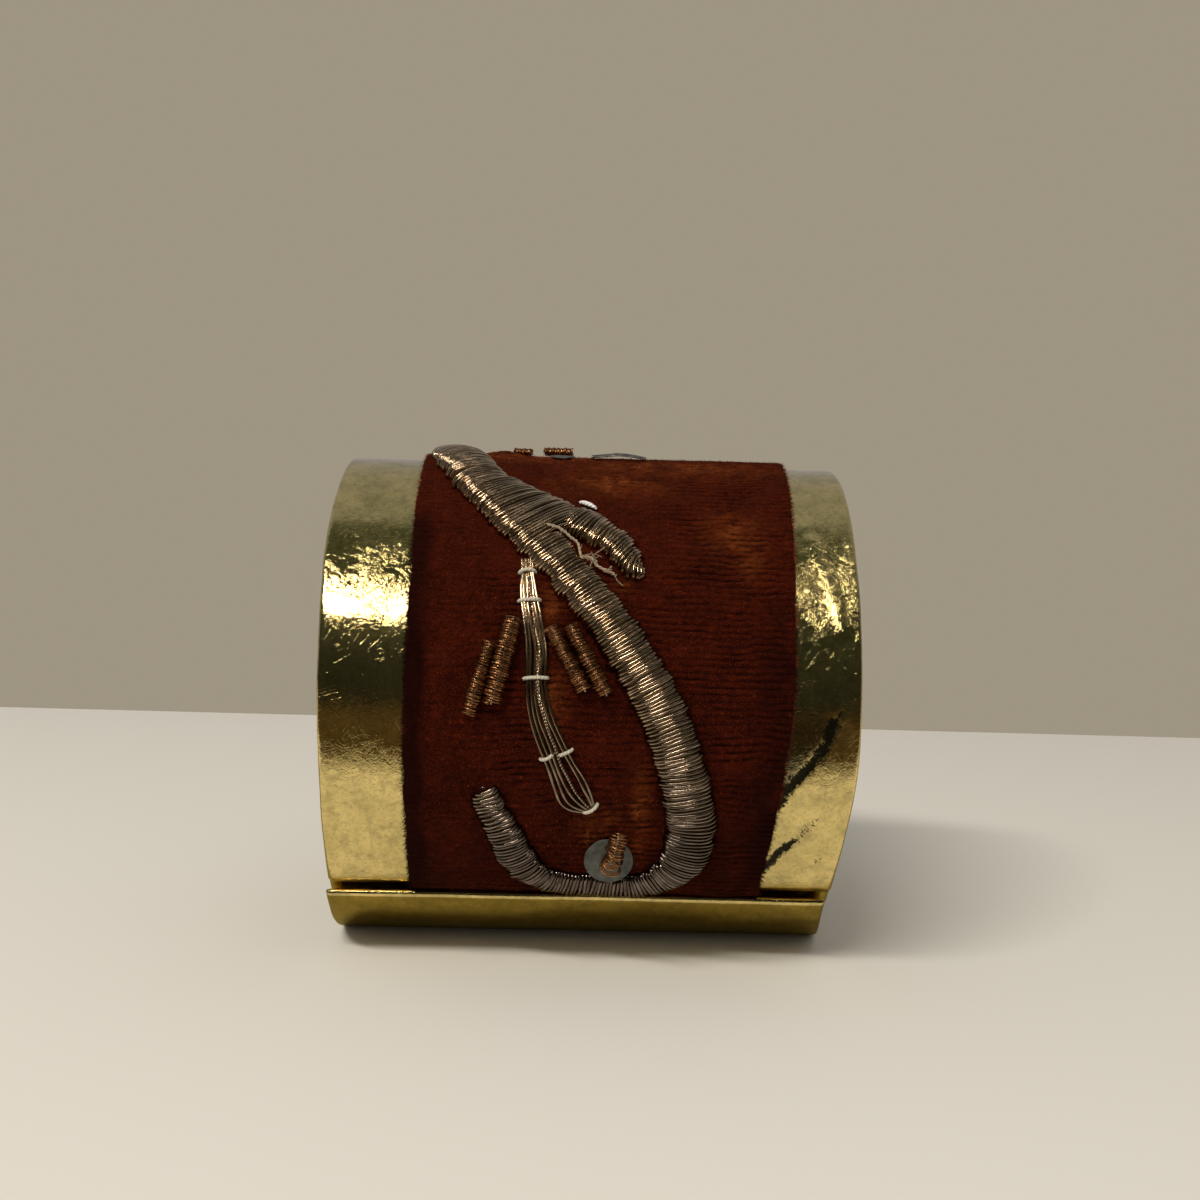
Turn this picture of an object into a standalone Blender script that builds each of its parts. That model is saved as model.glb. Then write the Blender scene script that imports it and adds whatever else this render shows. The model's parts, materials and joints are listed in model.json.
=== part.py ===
"""A ring of brass sheet with sprung, overlapping ends, dressed with a strip of goldwork embroidery.

The ring's axis runs along X. The front is -Y and up is +Z, and the origin is the centre of the flat
foot that the ring stands on.
Angles around the ring are in degrees from the front (-Y), rising over the top (+Z, 90) to the back
(180) and under the bottom (270). The sheet starts tucked inside at -68, goes once round, and its
free edge, the lip, lies outside its own start at 314.5.
"""

import math

import bmesh
import bpy
from mathutils import Vector

# Every size below is in millimetres and every angle in degrees.
MM = 0.001
GAP = 0.1

# The brass sheet.
BAND_WIDTH = 50.0
WALL_RADIUS = 24.0
SHEET = 0.75
TUCKED_END = -68.0
LIP = 314.5
TUCK_DEPTH = 0.45
TUCK_BEND = (-45.5, -43.0)
LAP_RISE = 0.95
FLAT_HALF_WIDTH = 4.0
CENTRE_HEIGHT = math.sqrt((WALL_RADIUS + LAP_RISE) ** 2 - FLAT_HALF_WIDTH**2)
SPRING_ANGLE = 130.0
SPRING_CUT = 0.3

# The cloth strip, as heights above the sheet.
LINEN_BASE = 0.08
LINEN_TOP = 0.24
VELVET_BASE = 0.32
VELVET_TOP = 0.65
CLOTH_BACK_END = 236.0
STITCH_RADIUS = WALL_RADIUS + VELVET_TOP

# Threads and metal.
WRAP = 0.36
STRAND_RADIUS = 0.13
COUCHING_RADIUS = 0.11
SEWING_RADIUS = 0.1
PURL_BORE = 0.24

# The centre line of the large hook, as (across, around, half width) on the velvet.
STEM = [
    (-15.0, 38.5, 2.0),
    (-13.5, 32.8, 2.6),
    (-12.0, 28.6, 2.6),
    (-10.6, 25.4, 2.4),
    (-7.9, 21.4, 2.3),
    (-5.3, 18.3, 2.25),
    (-2.4, 14.8, 2.15),
    (1.2, 10.1, 2.2),
    (4.6, 5.1, 2.35),
    (7.3, -0.2, 2.4),
    (9.35, -7.6, 2.45),
    (9.4, -11.8, 2.4),
    (8.1, -15.0, 2.0),
    (4.9, -17.1, 1.5),
    (0.6, -17.2, 1.4),
    (-3.7, -16.4, 1.5),
    (-6.2, -13.9, 1.75),
    (-8.0, -9.9, 1.75),
    (-9.85, -5.85, 1.4),
]
LEAF = [
    (-8.0, 27.8, 0.5),
    (-5.3, 24.6, 0.9),
    (-2.6, 21.7, 1.7),
    (-0.5, 19.95, 1.9),
    (1.5, 18.6, 1.65),
    (2.8, 17.1, 1.55),
    (3.7, 15.7, 1.35),
    (4.7, 14.85, 0.8),
]
BUNDLE = [
    (-6.2, 14.95, 0.55),
    (-5.9, 11.6, 0.62),
    (-5.1, 7.2, 0.78),
    (-5.1, 4.15, 0.76),
    (-4.4, 0.65, 1.05),
    (-2.85, -2.95, 1.15),
    (-1.3, -5.9, 1.1),
    (0.35, -7.85, 0.52),
]

# Cut purls, as (start, end, radius) on the velvet.
PURLS = [
    ((-9.4, 7.5), (-11.1, 1.2), 0.62),
    ((-7.35, 9.7), (-9.1, 2.2), 0.78),
    ((-3.85, 9.0), (-0.65, 3.5), 0.66),
    ((-2.1, 9.1), (1.3, 3.2), 0.68),
]
CREST_PURLS = [
    ((-8.2, 38.4), (-6.4, 38.2), 0.36),
    ((-5.1, 38.9), (-2.2, 38.5), 0.42),
]

# Couching stitches, as (place along the bundle, first side, last side, slant).
COUCHING = [
    (0.02, -1.0, 1.0, 0.0),
    (0.131, -1.0, 1.0, 0.1),
    (0.435, -1.0, 1.0, 0.0),
    (0.727, -1.05, -0.15, 0.0),
    (0.74, 0.15, 1.05, 0.0),
    (0.982, -1.0, 1.0, 0.35),
]

SPANGLE_CENTRE = (2.05, -13.1)
SPANGLE_TILT = 14.0
SPANGLE_RADIUS = 2.3
SPANGLE_HOLE = 0.5
SPANGLE_THICKNESS = 0.16


def clear_scene():
    for item in list(bpy.data.objects):
        bpy.data.objects.remove(item, do_unlink=True)


def material(name, colour, metallic, roughness):
    made = bpy.data.materials.new(name)
    made.use_nodes = True
    shader = made.node_tree.nodes["Principled BSDF"]
    shader.inputs["Base Color"].default_value = (*colour, 1.0)
    shader.inputs["Metallic"].default_value = metallic
    shader.inputs["Roughness"].default_value = roughness
    made.diffuse_color = (*colour, 1.0)
    return made


def brass(name):
    return material(name + "_brass", (0.72, 0.55, 0.22), 1.0, 0.28)


def silver_thread(name):
    return material(name + "_metal", (0.48, 0.44, 0.39), 1.0, 0.35)


def copper_purl(name):
    return material(name + "_copper", (0.62, 0.33, 0.17), 1.0, 0.35)


def white_thread(name):
    return material(name + "_thread", (0.78, 0.74, 0.66), 0.0, 0.8)


def cotton(name):
    return material(name + "_cotton", (0.62, 0.5, 0.35), 0.0, 0.9)


def smoothstep(start, end, value):
    share = min(max((value - start) / (end - start), 0.0), 1.0)
    return share * share * (3.0 - 2.0 * share)


def place(across, angle, radius):
    """A point of the ring in metres, from its place across, its angle and its distance from the axis."""
    turn = math.radians(angle)
    height = CENTRE_HEIGHT + radius * math.sin(turn)
    return Vector((across, -radius * math.cos(turn), height)) * MM


def on_velvet(across, around, height):
    """A point above the velvet, from its arc length around the ring and its height above the pile."""
    angle = math.degrees(around / STITCH_RADIUS)
    return place(across, angle, STITCH_RADIUS + height)


def sheet_outer(angle):
    """The sheet's outer radius: it dips into the tuck, rises into the lap and is flat underneath."""
    dip = TUCK_DEPTH * (1.0 - smoothstep(*TUCK_BEND, angle))
    rise = LAP_RISE * smoothstep(228.0, 256.0, angle)
    radius = WALL_RADIUS - dip + rise
    if radius * abs(math.sin(math.radians(angle - 270.0))) < FLAT_HALF_WIDTH and angle > 180.0:
        return CENTRE_HEIGHT / math.cos(math.radians(angle - 270.0))
    return radius


def angle_steps(start, end, step):
    """Even steps between two angles, with extra ones at the bend of the tuck."""
    count = max(1, round((end - start) / step))
    steps = [start + (end - start) * i / count for i in range(count + 1)]
    if start < TUCK_BEND[0] < end:
        bend = [TUCK_BEND[0], sum(TUCK_BEND) / 2.0, TUCK_BEND[1]]
        steps = [a for a in steps if not TUCK_BEND[0] - 0.6 < a < TUCK_BEND[1] + 0.6]
        steps = sorted(steps + bend)
    return steps


def add_object(name, mesh_builder, surface):
    bmesh.ops.recalc_face_normals(mesh_builder, faces=mesh_builder.faces)
    mesh = bpy.data.meshes.new(name)
    mesh_builder.to_mesh(mesh)
    mesh_builder.free()
    mesh.shade_smooth()
    mesh.set_sharp_from_angle(angle=math.radians(40.0))
    mesh.materials.append(surface)
    made = bpy.data.objects.new(name, mesh)
    bpy.context.collection.objects.link(made)
    return made


def loft(name, loops, surface):
    """One closed solid through a row of outlines that all have the same number of points."""
    builder = bmesh.new()
    rings = [[builder.verts.new(point) for point in loop] for loop in loops]
    size = len(rings[0])
    for near, far in zip(rings, rings[1:]):
        for i in range(size):
            j = (i + 1) % size
            builder.faces.new((near[i], near[j], far[j], far[i]))
    builder.faces.new(rings[0])
    builder.faces.new(rings[-1])
    return add_object(name, builder, surface)


def hollow_loft(name, outer_loops, inner_loops, surface):
    """A tube with open ends, from matching rows of outer and inner outlines."""
    builder = bmesh.new()
    outer = [[builder.verts.new(point) for point in loop] for loop in outer_loops]
    inner = [[builder.verts.new(point) for point in loop] for loop in inner_loops]
    size = len(outer[0])
    for rings in (outer, inner):
        for near, far in zip(rings, rings[1:]):
            for i in range(size):
                j = (i + 1) % size
                builder.faces.new((near[i], near[j], far[j], far[i]))
    for end in (0, -1):
        for i in range(size):
            j = (i + 1) % size
            builder.faces.new((outer[end][i], outer[end][j], inner[end][j], inner[end][i]))
    return add_object(name, builder, surface)


def sheet_left(angle):
    """The left edge, cut by eye: a little wide above the front and narrower below it."""
    front = math.exp(-(((angle - 38.0) / 30.0) ** 2))
    return -BAND_WIDTH / 2.0 - 0.4 * front + 0.25 * lower_front(angle)


def sheet_right(angle):
    """The right edge, which runs in towards both ends of the sheet."""
    return BAND_WIDTH / 2.0 - 1.1 * lower_front(angle) - 1.45 * smoothstep(262.0, LIP, angle)


def lower_front(angle):
    """One below the front of the first turn, easing to nothing at the front."""
    return smoothstep(0.0, -45.0, angle) if angle < 90.0 else 0.2 * smoothstep(280.0, LIP, angle)


def sheet_piece(name, start, end):
    """A stretch of the sheet, as its outline along each side edge, joined across the band."""
    flat_edge = math.degrees(math.asin(FLAT_HALF_WIDTH / (WALL_RADIUS + LAP_RISE)))
    angles = [a for a in angle_steps(start, end, 4.0) if abs(a - 270.0) > flat_edge + 1.0]
    if start < 270.0 < end:
        angles = sorted(angles + [270.0 - flat_edge + 0.01, 270.0, 270.0 + flat_edge - 0.01])
    outline = [(a, sheet_outer(a)) for a in angles]
    outline += [(a, sheet_outer(a) - SHEET) for a in reversed(angles)]
    loops = [[place(edge(a), a, r) for a, r in outline] for edge in (sheet_left, sheet_right)]
    return loft(name, loops, brass(name))


def build_sheet():
    half_cut = math.degrees(SPRING_CUT / 2.0 / (WALL_RADIUS - SHEET / 2.0))
    hinge = bpy.data.objects.new("spring_axis", None)
    hinge.location = place(0.0, SPRING_ANGLE, WALL_RADIUS - SHEET / 2.0)
    bpy.context.collection.objects.link(hinge)
    sheet_piece("band_wall", TUCKED_END, SPRING_ANGLE - half_cut)
    lap = sheet_piece("band_lap", SPRING_ANGLE + half_cut, LIP)
    lap.parent = hinge
    lap.matrix_parent_inverse = hinge.matrix_basis.inverted()


def cloth_left(angle):
    return -17.1 + 0.3 * smoothstep(0.0, -45.0, angle)


def cloth_right(angle):
    return 16.7 + 2.0 * smoothstep(-45.0, 15.0, angle) + 0.8 * smoothstep(15.0, 90.0, angle)


def cloth_section(angle, base, top, inset):
    """The strip's cut outline at one angle, with its long edges rounded over."""
    left = cloth_left(angle) + inset
    right = cloth_right(angle) - inset
    ease = 0.4 * (top - base)
    radius = sheet_outer(angle)
    outline = [(left, base), (left, top - ease), (left + ease, top)]
    outline += [(right - ease, top), (right, top - ease), (right, base)]
    return [place(x, angle, radius + height) for x, height in outline]


def build_cloth():
    linen = material("linen", (0.72, 0.66, 0.52), 0.0, 0.9)
    rows = angle_steps(-36.0, CLOTH_BACK_END - 2.0, 4.0)
    loft("linen_backing", [cloth_section(a, LINEN_BASE, LINEN_TOP, 0.8) for a in rows], linen)
    velvet = material("velvet", (0.2, 0.05, 0.025), 0.0, 0.85)
    loops = []
    for a in angle_steps(-54.0, CLOTH_BACK_END, 3.4):
        pinch = 1.0 - smoothstep(*TUCK_BEND, a)
        base = VELVET_BASE - 0.2 * pinch
        top = VELVET_TOP - 0.15 * pinch
        loops.append(cloth_section(a, base, top, 0.0))
    loft("velvet_strip", loops, velvet)


class Course:
    """A smooth line on the velvet through (across, around, half width) points."""

    def __init__(self, points):
        self.points = [Vector(p) for p in points]
        self.marks = [0.0]
        for near, far in zip(self.points, self.points[1:]):
            self.marks.append(self.marks[-1] + (far.xy - near.xy).length)

    def raw(self, share):
        mark = min(max(share, 0.0), 1.0) * self.marks[-1]
        last = len(self.points) - 1
        i = max(j for j in range(last) if self.marks[j] <= mark + 1e-9)
        span = self.marks[i + 1] - self.marks[i]
        t = (mark - self.marks[i]) / span
        before = self.points[max(i - 1, 0)]
        near = self.points[i]
        far = self.points[i + 1]
        after = self.points[min(i + 2, last)]
        back = self.marks[i] - self.marks[max(i - 1, 0)] or span
        ahead = self.marks[min(i + 2, last)] - self.marks[i + 1] or span
        leave = (far - before) * span / (span + back)
        arrive = (after - near) * span / (span + ahead)
        h1 = 2 * t**3 - 3 * t**2 + 1
        h2 = t**3 - 2 * t**2 + t
        h3 = t**3 - t**2
        return near * h1 + leave * h2 + far * (1 - h1) + arrive * h3

    def at(self, share):
        """The point, the unit vector to its right-hand side and the half width."""
        here = self.raw(share)
        ahead = self.raw(share + 0.004)
        behind = self.raw(share - 0.004)
        along = (ahead.xy - behind.xy).normalized()
        return here.xy, Vector((-along.y, along.x)), here.z

    def lift(self, share, side, height, slant=0.0):
        """A point in metres, at a distance to one side of the line and a height above the velvet."""
        here, normal, _ = self.at(share)
        along = Vector((normal.y, -normal.x))
        spot = here + normal * side + along * slant
        return on_velvet(spot.x, spot.y, height)


def padded_height(half_width):
    return 0.32 + 0.48 * half_width


def arch(half_width, height, base, steps):
    """A low rounded arch standing on its base line, as (side, height) points from right to left."""
    points = []
    for i in range(steps + 1):
        turn = math.pi * i / steps
        side = math.copysign(abs(math.cos(turn)) ** 0.85, math.cos(turn))
        points.append((half_width * side, base + (height - base) * math.sin(turn) ** 0.8))
    return points


def build_wrapped(prefix, points, count, padded_from, padded_to):
    """Soft padding with its saddle of close metal wraps, both following one course."""
    course = Course(points)
    wraps = []
    padding = []
    for i in range(count + 1):
        share = i / count
        half = course.at(share)[2]
        top = padded_height(half)
        outside = arch(half, top, GAP, 8)
        inside = arch(half - WRAP, top - WRAP, GAP, 8)
        saddle = outside + list(reversed(inside))
        wraps.append([course.lift(share, side, height) for side, height in saddle])
        reach = padded_from + (padded_to - padded_from) * share
        half = course.at(reach)[2]
        body = arch(half - WRAP - 0.14, padded_height(half) - WRAP - 0.14, GAP, 6)
        padding.append([course.lift(reach, side, height) for side, height in body])
    loft(prefix + "_wrapping", wraps, silver_thread(prefix + "_wrapping"))
    loft(prefix + "_padding", padding, cotton(prefix + "_padding"))


def tube(name, centres, radius, surface, sides=6):
    loft(name, tube_loops(centres, radius, sides), surface)


def tube_loops(centres, radius, sides):
    """Rings of points around a line, kept from twisting by carrying one side vector along it."""
    loops = []
    side = None
    for i, centre in enumerate(centres):
        along = (centres[min(i + 1, len(centres) - 1)] - centres[max(i - 1, 0)]).normalized()
        if side is None:
            side = along.orthogonal().normalized()
        side = (side - along * side.dot(along)).normalized()
        other = along.cross(side)
        ring = []
        for j in range(sides):
            turn = 2.0 * math.pi * j / sides
            ring.append(centre + (side * math.cos(turn) + other * math.sin(turn)) * radius * MM)
        loops.append(ring)
    return loops


def build_bundle():
    """Six passing threads laid side by side, spreading where the bundle widens."""
    course = Course(BUNDLE)
    for number in range(6):
        place_in_row = (number - 2.5) / 2.5
        early = 0.035 * abs(place_in_row) ** 2
        centres = []
        for i in range(31):
            share = early + (1.0 - 2.0 * early) * i / 30
            half = course.at(share)[2]
            centres.append(course.lift(share, place_in_row * (half + 0.16), GAP + STRAND_RADIUS))
        name = f"cord_strand_{number + 1}"
        tube(name, centres, STRAND_RADIUS, silver_thread(name))
    for number, (share, first, last, slant) in enumerate(COUCHING):
        half = course.at(share)[2] + 0.42
        centres = []
        for i in range(9):
            t = i / 8
            side = (first + (last - first) * t) * half
            height = 0.22 + 0.36 * math.sin(math.pi * t) ** 0.5
            centres.append(course.lift(share, side, height, slant * (t - 0.5)))
        name = f"couching_stitch_{number + 1}"
        tube(name, centres, COUCHING_RADIUS, white_thread(name))


def build_purl(name, thread_name, start, end, radius):
    """A cut length of coiled purl as a bored rod, held by the sewing thread that runs through it."""
    a = Vector(start)
    b = Vector(end)
    along = (b - a).normalized()
    rest = GAP + radius + 0.02
    body = [on_velvet(*(a.lerp(b, i / 6)), rest) for i in range(7)]
    outer = tube_loops(body, radius, 10)
    inner = tube_loops(body, PURL_BORE, 10)
    hollow_loft(name, outer, inner, copper_purl(name))
    line = [on_velvet(*(a - along * 0.42), 0.25), on_velvet(*(a - along * 0.22), rest - 0.08)]
    line += [on_velvet(*(a.lerp(b, i / 4)), rest) for i in range(5)]
    line += [on_velvet(*(b + along * 0.22), rest - 0.08), on_velvet(*(b + along * 0.42), 0.25)]
    tube(thread_name, line, SEWING_RADIUS, white_thread(thread_name))


def build_purls():
    for number, (start, end, radius) in enumerate(PURLS):
        build_purl(f"purl_{number + 1}", f"purl_thread_{number + 1}", start, end, radius)
    for number, (start, end, radius) in enumerate(CREST_PURLS):
        name = f"crest_purl_{number + 1}"
        build_purl(name, f"crest_thread_{number + 1}", start, end, radius)


def disc(name, centre, radius, hole, thickness, lift, tilt, surface):
    """A flat spangle with a round hole, on its own axis, which leans up the ring by the tilt."""
    angle = centre[1] / STITCH_RADIUS
    axis = bpy.data.objects.new(name + "_axis", None)
    axis.location = on_velvet(centre[0], centre[1], lift + thickness / 2.0)
    axis.rotation_euler = (math.pi / 2.0 - angle - math.radians(tilt), 0.0, 0.0)
    bpy.context.collection.objects.link(axis)
    bpy.context.view_layer.update()
    outer = []
    inner = []
    for height in (-thickness / 2.0, thickness / 2.0):
        turns = [2.0 * math.pi * i / 28 for i in range(28)]
        spots = [Vector((math.cos(t), math.sin(t), 0.0)) for t in turns]
        rise = Vector((0.0, 0.0, height))
        outer.append([(spot * radius + rise) * MM for spot in spots])
        inner.append([(spot * hole + rise) * MM for spot in spots])
    made = hollow_loft(name, outer, inner, surface)
    made.parent = axis
    return made


def build_spangle():
    grey = material("spangle", (0.45, 0.47, 0.47), 0.6, 0.35)
    radius = SPANGLE_RADIUS
    disc("sequin", SPANGLE_CENTRE, radius, SPANGLE_HOLE, SPANGLE_THICKNESS, 0.77, SPANGLE_TILT, grey)
    hole = Vector(SPANGLE_CENTRE)
    foot = Vector((3.0, -9.75))
    toward = (foot - hole).normalized()
    centres = []
    for i in range(9):
        t = i / 8
        spot = hole.lerp(foot, t)
        centres.append(on_velvet(spot.x, spot.y, 1.75 - 0.75 * t + 0.35 * math.sin(math.pi * t)))
    outer = tube_loops(centres, 0.68, 12)
    inner = tube_loops(centres, 0.42, 12)
    hollow_loft("sequin_purl", outer, inner, copper_purl("sequin_purl"))
    before = [on_velvet(hole.x, hole.y, 0.12), on_velvet(hole.x, hole.y, 0.5)]
    end = foot + toward * 0.35
    after = [on_velvet(end.x - toward.x * 0.1, end.y - toward.y * 0.1, 0.6)]
    after.append(on_velvet(end.x, end.y, 0.2))
    tube("sequin_thread", before + centres + after, 0.08, white_thread("sequin_thread"))


def build_loose_threads():
    dash = []
    for i in range(5):
        t = i / 4
        height = 0.26 + 0.16 * math.sin(math.pi * t)
        dash.append(on_velvet(-1.45 + 1.65 * t, 23.55 - 0.95 * t, height))
    tube("stay_stitch", dash, 0.2, material("stay_stitch", (0.9, 0.9, 0.9), 0.0, 0.7))
    fray = [
        (-4.6, 19.2, 1.62),
        (-3.6, 18.6, 1.6),
        (-2.7, 18.0, 1.5),
        (-1.9, 17.4, 1.4),
        (-1.2, 16.6, 1.2),
        (-0.4, 16.2, 0.9),
        (0.6, 15.5, 0.65),
        (1.7, 14.8, 0.5),
        (2.4, 14.1, 0.35),
    ]
    tube("frayed_thread", [on_velvet(*spot) for spot in fray], 0.14, cotton("frayed_thread"))


def build_crest():
    """The small bits that lie on the top of the ring, past its highest line."""
    grey = material("crest_spangle", (0.5, 0.45, 0.36), 0.8, 0.35)
    disc("crest_sequin", (-3.2, 36.3), 1.3, 0.35, SPANGLE_THICKNESS, 0.2, 0.0, grey)
    loops = []
    for i in range(9):
        t = i / 8
        x = -0.2 + 5.6 * t
        mid = 35.9 + 0.5 * math.sin(math.pi * t)
        half = 0.35 + 0.45 * math.sin(math.pi * t)
        lift = 0.2 + 0.25 * math.sin(math.pi * t)
        corners = ((-half, lift), (half, lift), (half, lift + 0.18), (-half, lift + 0.18))
        loops.append([on_velvet(x, mid + side, height) for side, height in corners])
    loft("crest_plate", loops, silver_thread("crest_plate"))


clear_scene()
build_sheet()
build_cloth()
build_wrapped("stem", STEM, 72, 0.004, 0.996)
build_wrapped("leaf", LEAF, 20, 0.24, 0.96)
build_bundle()
build_purls()
build_spangle()
build_loose_threads()
build_crest()
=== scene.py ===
"""The finished look of a sprung brass ring band dressed with goldwork embroidery on velvet.

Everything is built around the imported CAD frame. The ring's axis runs along X, the front is -Y and
up is +Z. Angles around the ring are in degrees from the front, rising over the top (90) to the back
(180) and under the foot (270). Sizes are in millimetres until place() turns them into metres.
In the functions x is the distance across the ring and s the distance around it from the front.
"""

import json
import math

import bpy
import numpy as np
from mathutils import Matrix, Vector


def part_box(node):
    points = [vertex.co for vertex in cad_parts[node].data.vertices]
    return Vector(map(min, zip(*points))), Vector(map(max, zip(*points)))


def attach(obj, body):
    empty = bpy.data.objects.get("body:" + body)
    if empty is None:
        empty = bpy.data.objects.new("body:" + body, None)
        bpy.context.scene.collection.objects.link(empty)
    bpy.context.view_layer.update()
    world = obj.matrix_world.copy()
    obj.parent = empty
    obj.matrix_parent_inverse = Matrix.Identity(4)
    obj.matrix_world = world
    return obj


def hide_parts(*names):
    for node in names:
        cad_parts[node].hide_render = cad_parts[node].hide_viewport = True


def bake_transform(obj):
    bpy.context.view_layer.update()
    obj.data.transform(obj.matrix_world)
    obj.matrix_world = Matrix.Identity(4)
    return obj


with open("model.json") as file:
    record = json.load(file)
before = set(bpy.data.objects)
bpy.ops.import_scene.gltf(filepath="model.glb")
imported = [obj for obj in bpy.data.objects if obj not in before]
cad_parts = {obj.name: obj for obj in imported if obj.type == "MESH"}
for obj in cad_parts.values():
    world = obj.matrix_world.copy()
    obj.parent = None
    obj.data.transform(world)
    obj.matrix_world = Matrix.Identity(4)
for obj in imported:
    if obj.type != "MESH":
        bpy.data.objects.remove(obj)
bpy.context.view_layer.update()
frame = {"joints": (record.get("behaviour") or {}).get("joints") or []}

MM = 0.001
SEED = 20
QUARTER = math.pi / 2.0

# The ring: the lap is joined to the band by a spring, a hinge on the upper back, and stands on the floor.
JOINTS = {joint["name"]: Vector(joint["pos_m"]) for joint in frame["joints"]}
HINGE = JOINTS["lap_flex"]
SHEET = 0.75
WALL_RADIUS = 24.0
LAP_RISE = 0.95
TUCK_DEPTH = 0.45
TUCK_BEND = (-45.5, -43.0)
FLAT_HALF_WIDTH = 4.0
SPRING_ANGLE = 130.0
SPRING_RADIUS = WALL_RADIUS - SHEET / 2.0
CENTRE_HEIGHT = HINGE.z / MM - SPRING_RADIUS * math.sin(math.radians(SPRING_ANGLE))
CENTRE = Vector((0.0, 0.0, CENTRE_HEIGHT * MM))
HALF_WIDTH = 25.0
TUCKED_END = -68.0
LIP = 314.5
BEND = (118.0, 142.0)
STRETCHES = (("front", "band", -1e9, BEND[0]), ("bend", "bend", *BEND), ("back", "lap", BEND[1], 1e9))

# The cloth strip, as heights above the sheet.
LINEN_BASE = 0.08
LINEN_TOP = 0.24
VELVET_BASE = 0.32
VELVET_TOP = 0.65
CLOTH_BACK_END = 236.0
STITCH_RADIUS = WALL_RADIUS + VELVET_TOP

# The stitched courses, as (across, around, half width) on the velvet, the same lines as the frame's.
STEM = [
    (-15.0, 38.5, 2.0), (-13.5, 32.8, 2.6), (-12.0, 28.6, 2.6), (-10.6, 25.4, 2.4), (-7.9, 21.4, 2.3),
    (-5.3, 18.3, 2.25), (-2.4, 14.8, 2.15), (1.2, 10.1, 2.2), (4.6, 5.1, 2.35), (7.3, -0.2, 2.4),
    (9.35, -7.6, 2.45), (9.4, -11.8, 2.4), (8.1, -15.0, 2.0), (4.9, -17.1, 1.5), (0.6, -17.2, 1.4),
    (-3.7, -16.4, 1.5), (-6.2, -13.9, 1.75), (-8.0, -9.9, 1.75), (-9.85, -5.85, 1.4),
]
LEAF = [
    (-8.0, 27.8, 0.5), (-5.3, 24.6, 0.9), (-2.6, 21.7, 1.7), (-0.5, 19.95, 1.9), (1.5, 18.6, 1.65),
    (2.8, 17.1, 1.55), (3.7, 15.7, 1.35), (4.7, 14.85, 0.8),
]
BUNDLE = [
    (-6.2, 14.95, 0.55), (-5.9, 11.6, 0.62), (-5.1, 7.2, 0.78), (-5.1, 4.15, 0.76), (-4.4, 0.65, 1.05),
    (-2.85, -2.95, 1.15), (-1.3, -5.9, 1.1), (0.35, -7.85, 0.52),
]
# Each purl as its two ends and its radius.
PURLS = [
    ((-9.4, 7.5), (-11.1, 1.2), 0.62), ((-7.35, 9.7), (-9.1, 2.2), 0.78),
    ((-3.85, 9.0), (-0.65, 3.5), 0.66), ((-2.1, 9.1), (1.3, 3.2), 0.68),
]
CREST_PURLS = [((-8.2, 38.4), (-6.4, 38.2), 0.36), ((-5.1, 38.9), (-2.2, 38.5), 0.42)]
# Each couching stitch as its share along the bundle, its two ends across the row and its slant.
COUCHING = [
    (0.02, -1.0, 1.0, 0.0), (0.131, -1.0, 1.0, 0.1), (0.435, -1.0, 1.0, 0.0),
    (0.727, -1.05, -0.15, 0.0), (0.74, 0.15, 1.05, 0.0), (0.982, -1.0, 1.0, 0.35),
]
# Where each strand of the bundle lies across the row, low down where the row parts.
PARTED = (-1.0, -0.66, -0.32, 0.03, 0.62, 0.99)
CORDED_STRAND = 3
SPANGLE_CENTRE = (2.05, -13.1)
SPANGLE_TILT = 14.0
SPANGLE_RADIUS = 2.3
SPANGLE_HOLE = 0.4
# Radii of the motif's wire and of its lane in the padding's outline, of the purls' wire and of threads.
WIRE = 0.172
WIRE_SEAT = 0.175
PURL_WIRE = 0.09
STRAND = 0.158
CORD_PLY = 0.105
COUCHING_THREAD = 0.165


# ---------------------------------------------------------------- shapes around the ring


def smoothstep(start, end, value):
    share = np.clip((np.asarray(value, float) - start) / (end - start), 0.0, 1.0)
    return share * share * (3.0 - 2.0 * share)


def hump(centre, half_width, value):
    """A smooth bump of height one."""
    return np.exp(-(((np.asarray(value, float) - centre) / half_width) ** 2))


def place(across, angle, radius):
    """Points of the ring in metres, from place across, angle and distance from the axis."""
    across, turn, radius = np.broadcast_arrays(across, np.radians(angle), radius)
    return np.stack([across, -radius * np.cos(turn), CENTRE_HEIGHT + radius * np.sin(turn)], axis=-1) * MM


def on_velvet(across, around, height):
    """Points above the velvet, from arc length around the ring and height above the pile."""
    return place(across, np.degrees(np.asarray(around) / STITCH_RADIUS), STITCH_RADIUS + height)


def triple(a, b, c):
    """Three numbers for each point, for a field that a material reads."""
    return np.stack(np.broadcast_arrays(a, b, c), axis=-1)


def noise(u, v, seed):
    """Smooth random values from -1 to 1 over a plane, with one random value per unit cell."""
    table = np.random.default_rng(seed).uniform(-1.0, 1.0, (256, 256))
    u, v = np.broadcast_arrays(np.asarray(u, float), np.asarray(v, float))
    iu = np.floor(u).astype(int)
    iv = np.floor(v).astype(int)
    su = smoothstep(0.0, 1.0, u - iu)
    sv = smoothstep(0.0, 1.0, v - iv)
    low = table[iu % 256, iv % 256] * (1.0 - su) + table[(iu + 1) % 256, iv % 256] * su
    high = table[iu % 256, (iv + 1) % 256] * (1.0 - su) + table[(iu + 1) % 256, (iv + 1) % 256] * su
    return low * (1.0 - sv) + high * sv


def near_line(u, v, points):
    """Distance from each (u, v) to a line through the given points."""
    best = np.full(np.broadcast(u, v).shape, 1e9)
    for (u0, v0), (u1, v1) in zip(points, points[1:]):
        du, dv = u1 - u0, v1 - v0
        share = np.clip(((u - u0) * du + (v - v0) * dv) / (du * du + dv * dv), 0.0, 1.0)
        best = np.minimum(best, np.hypot(u - u0 - share * du, v - v0 - share * dv))
    return best


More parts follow.
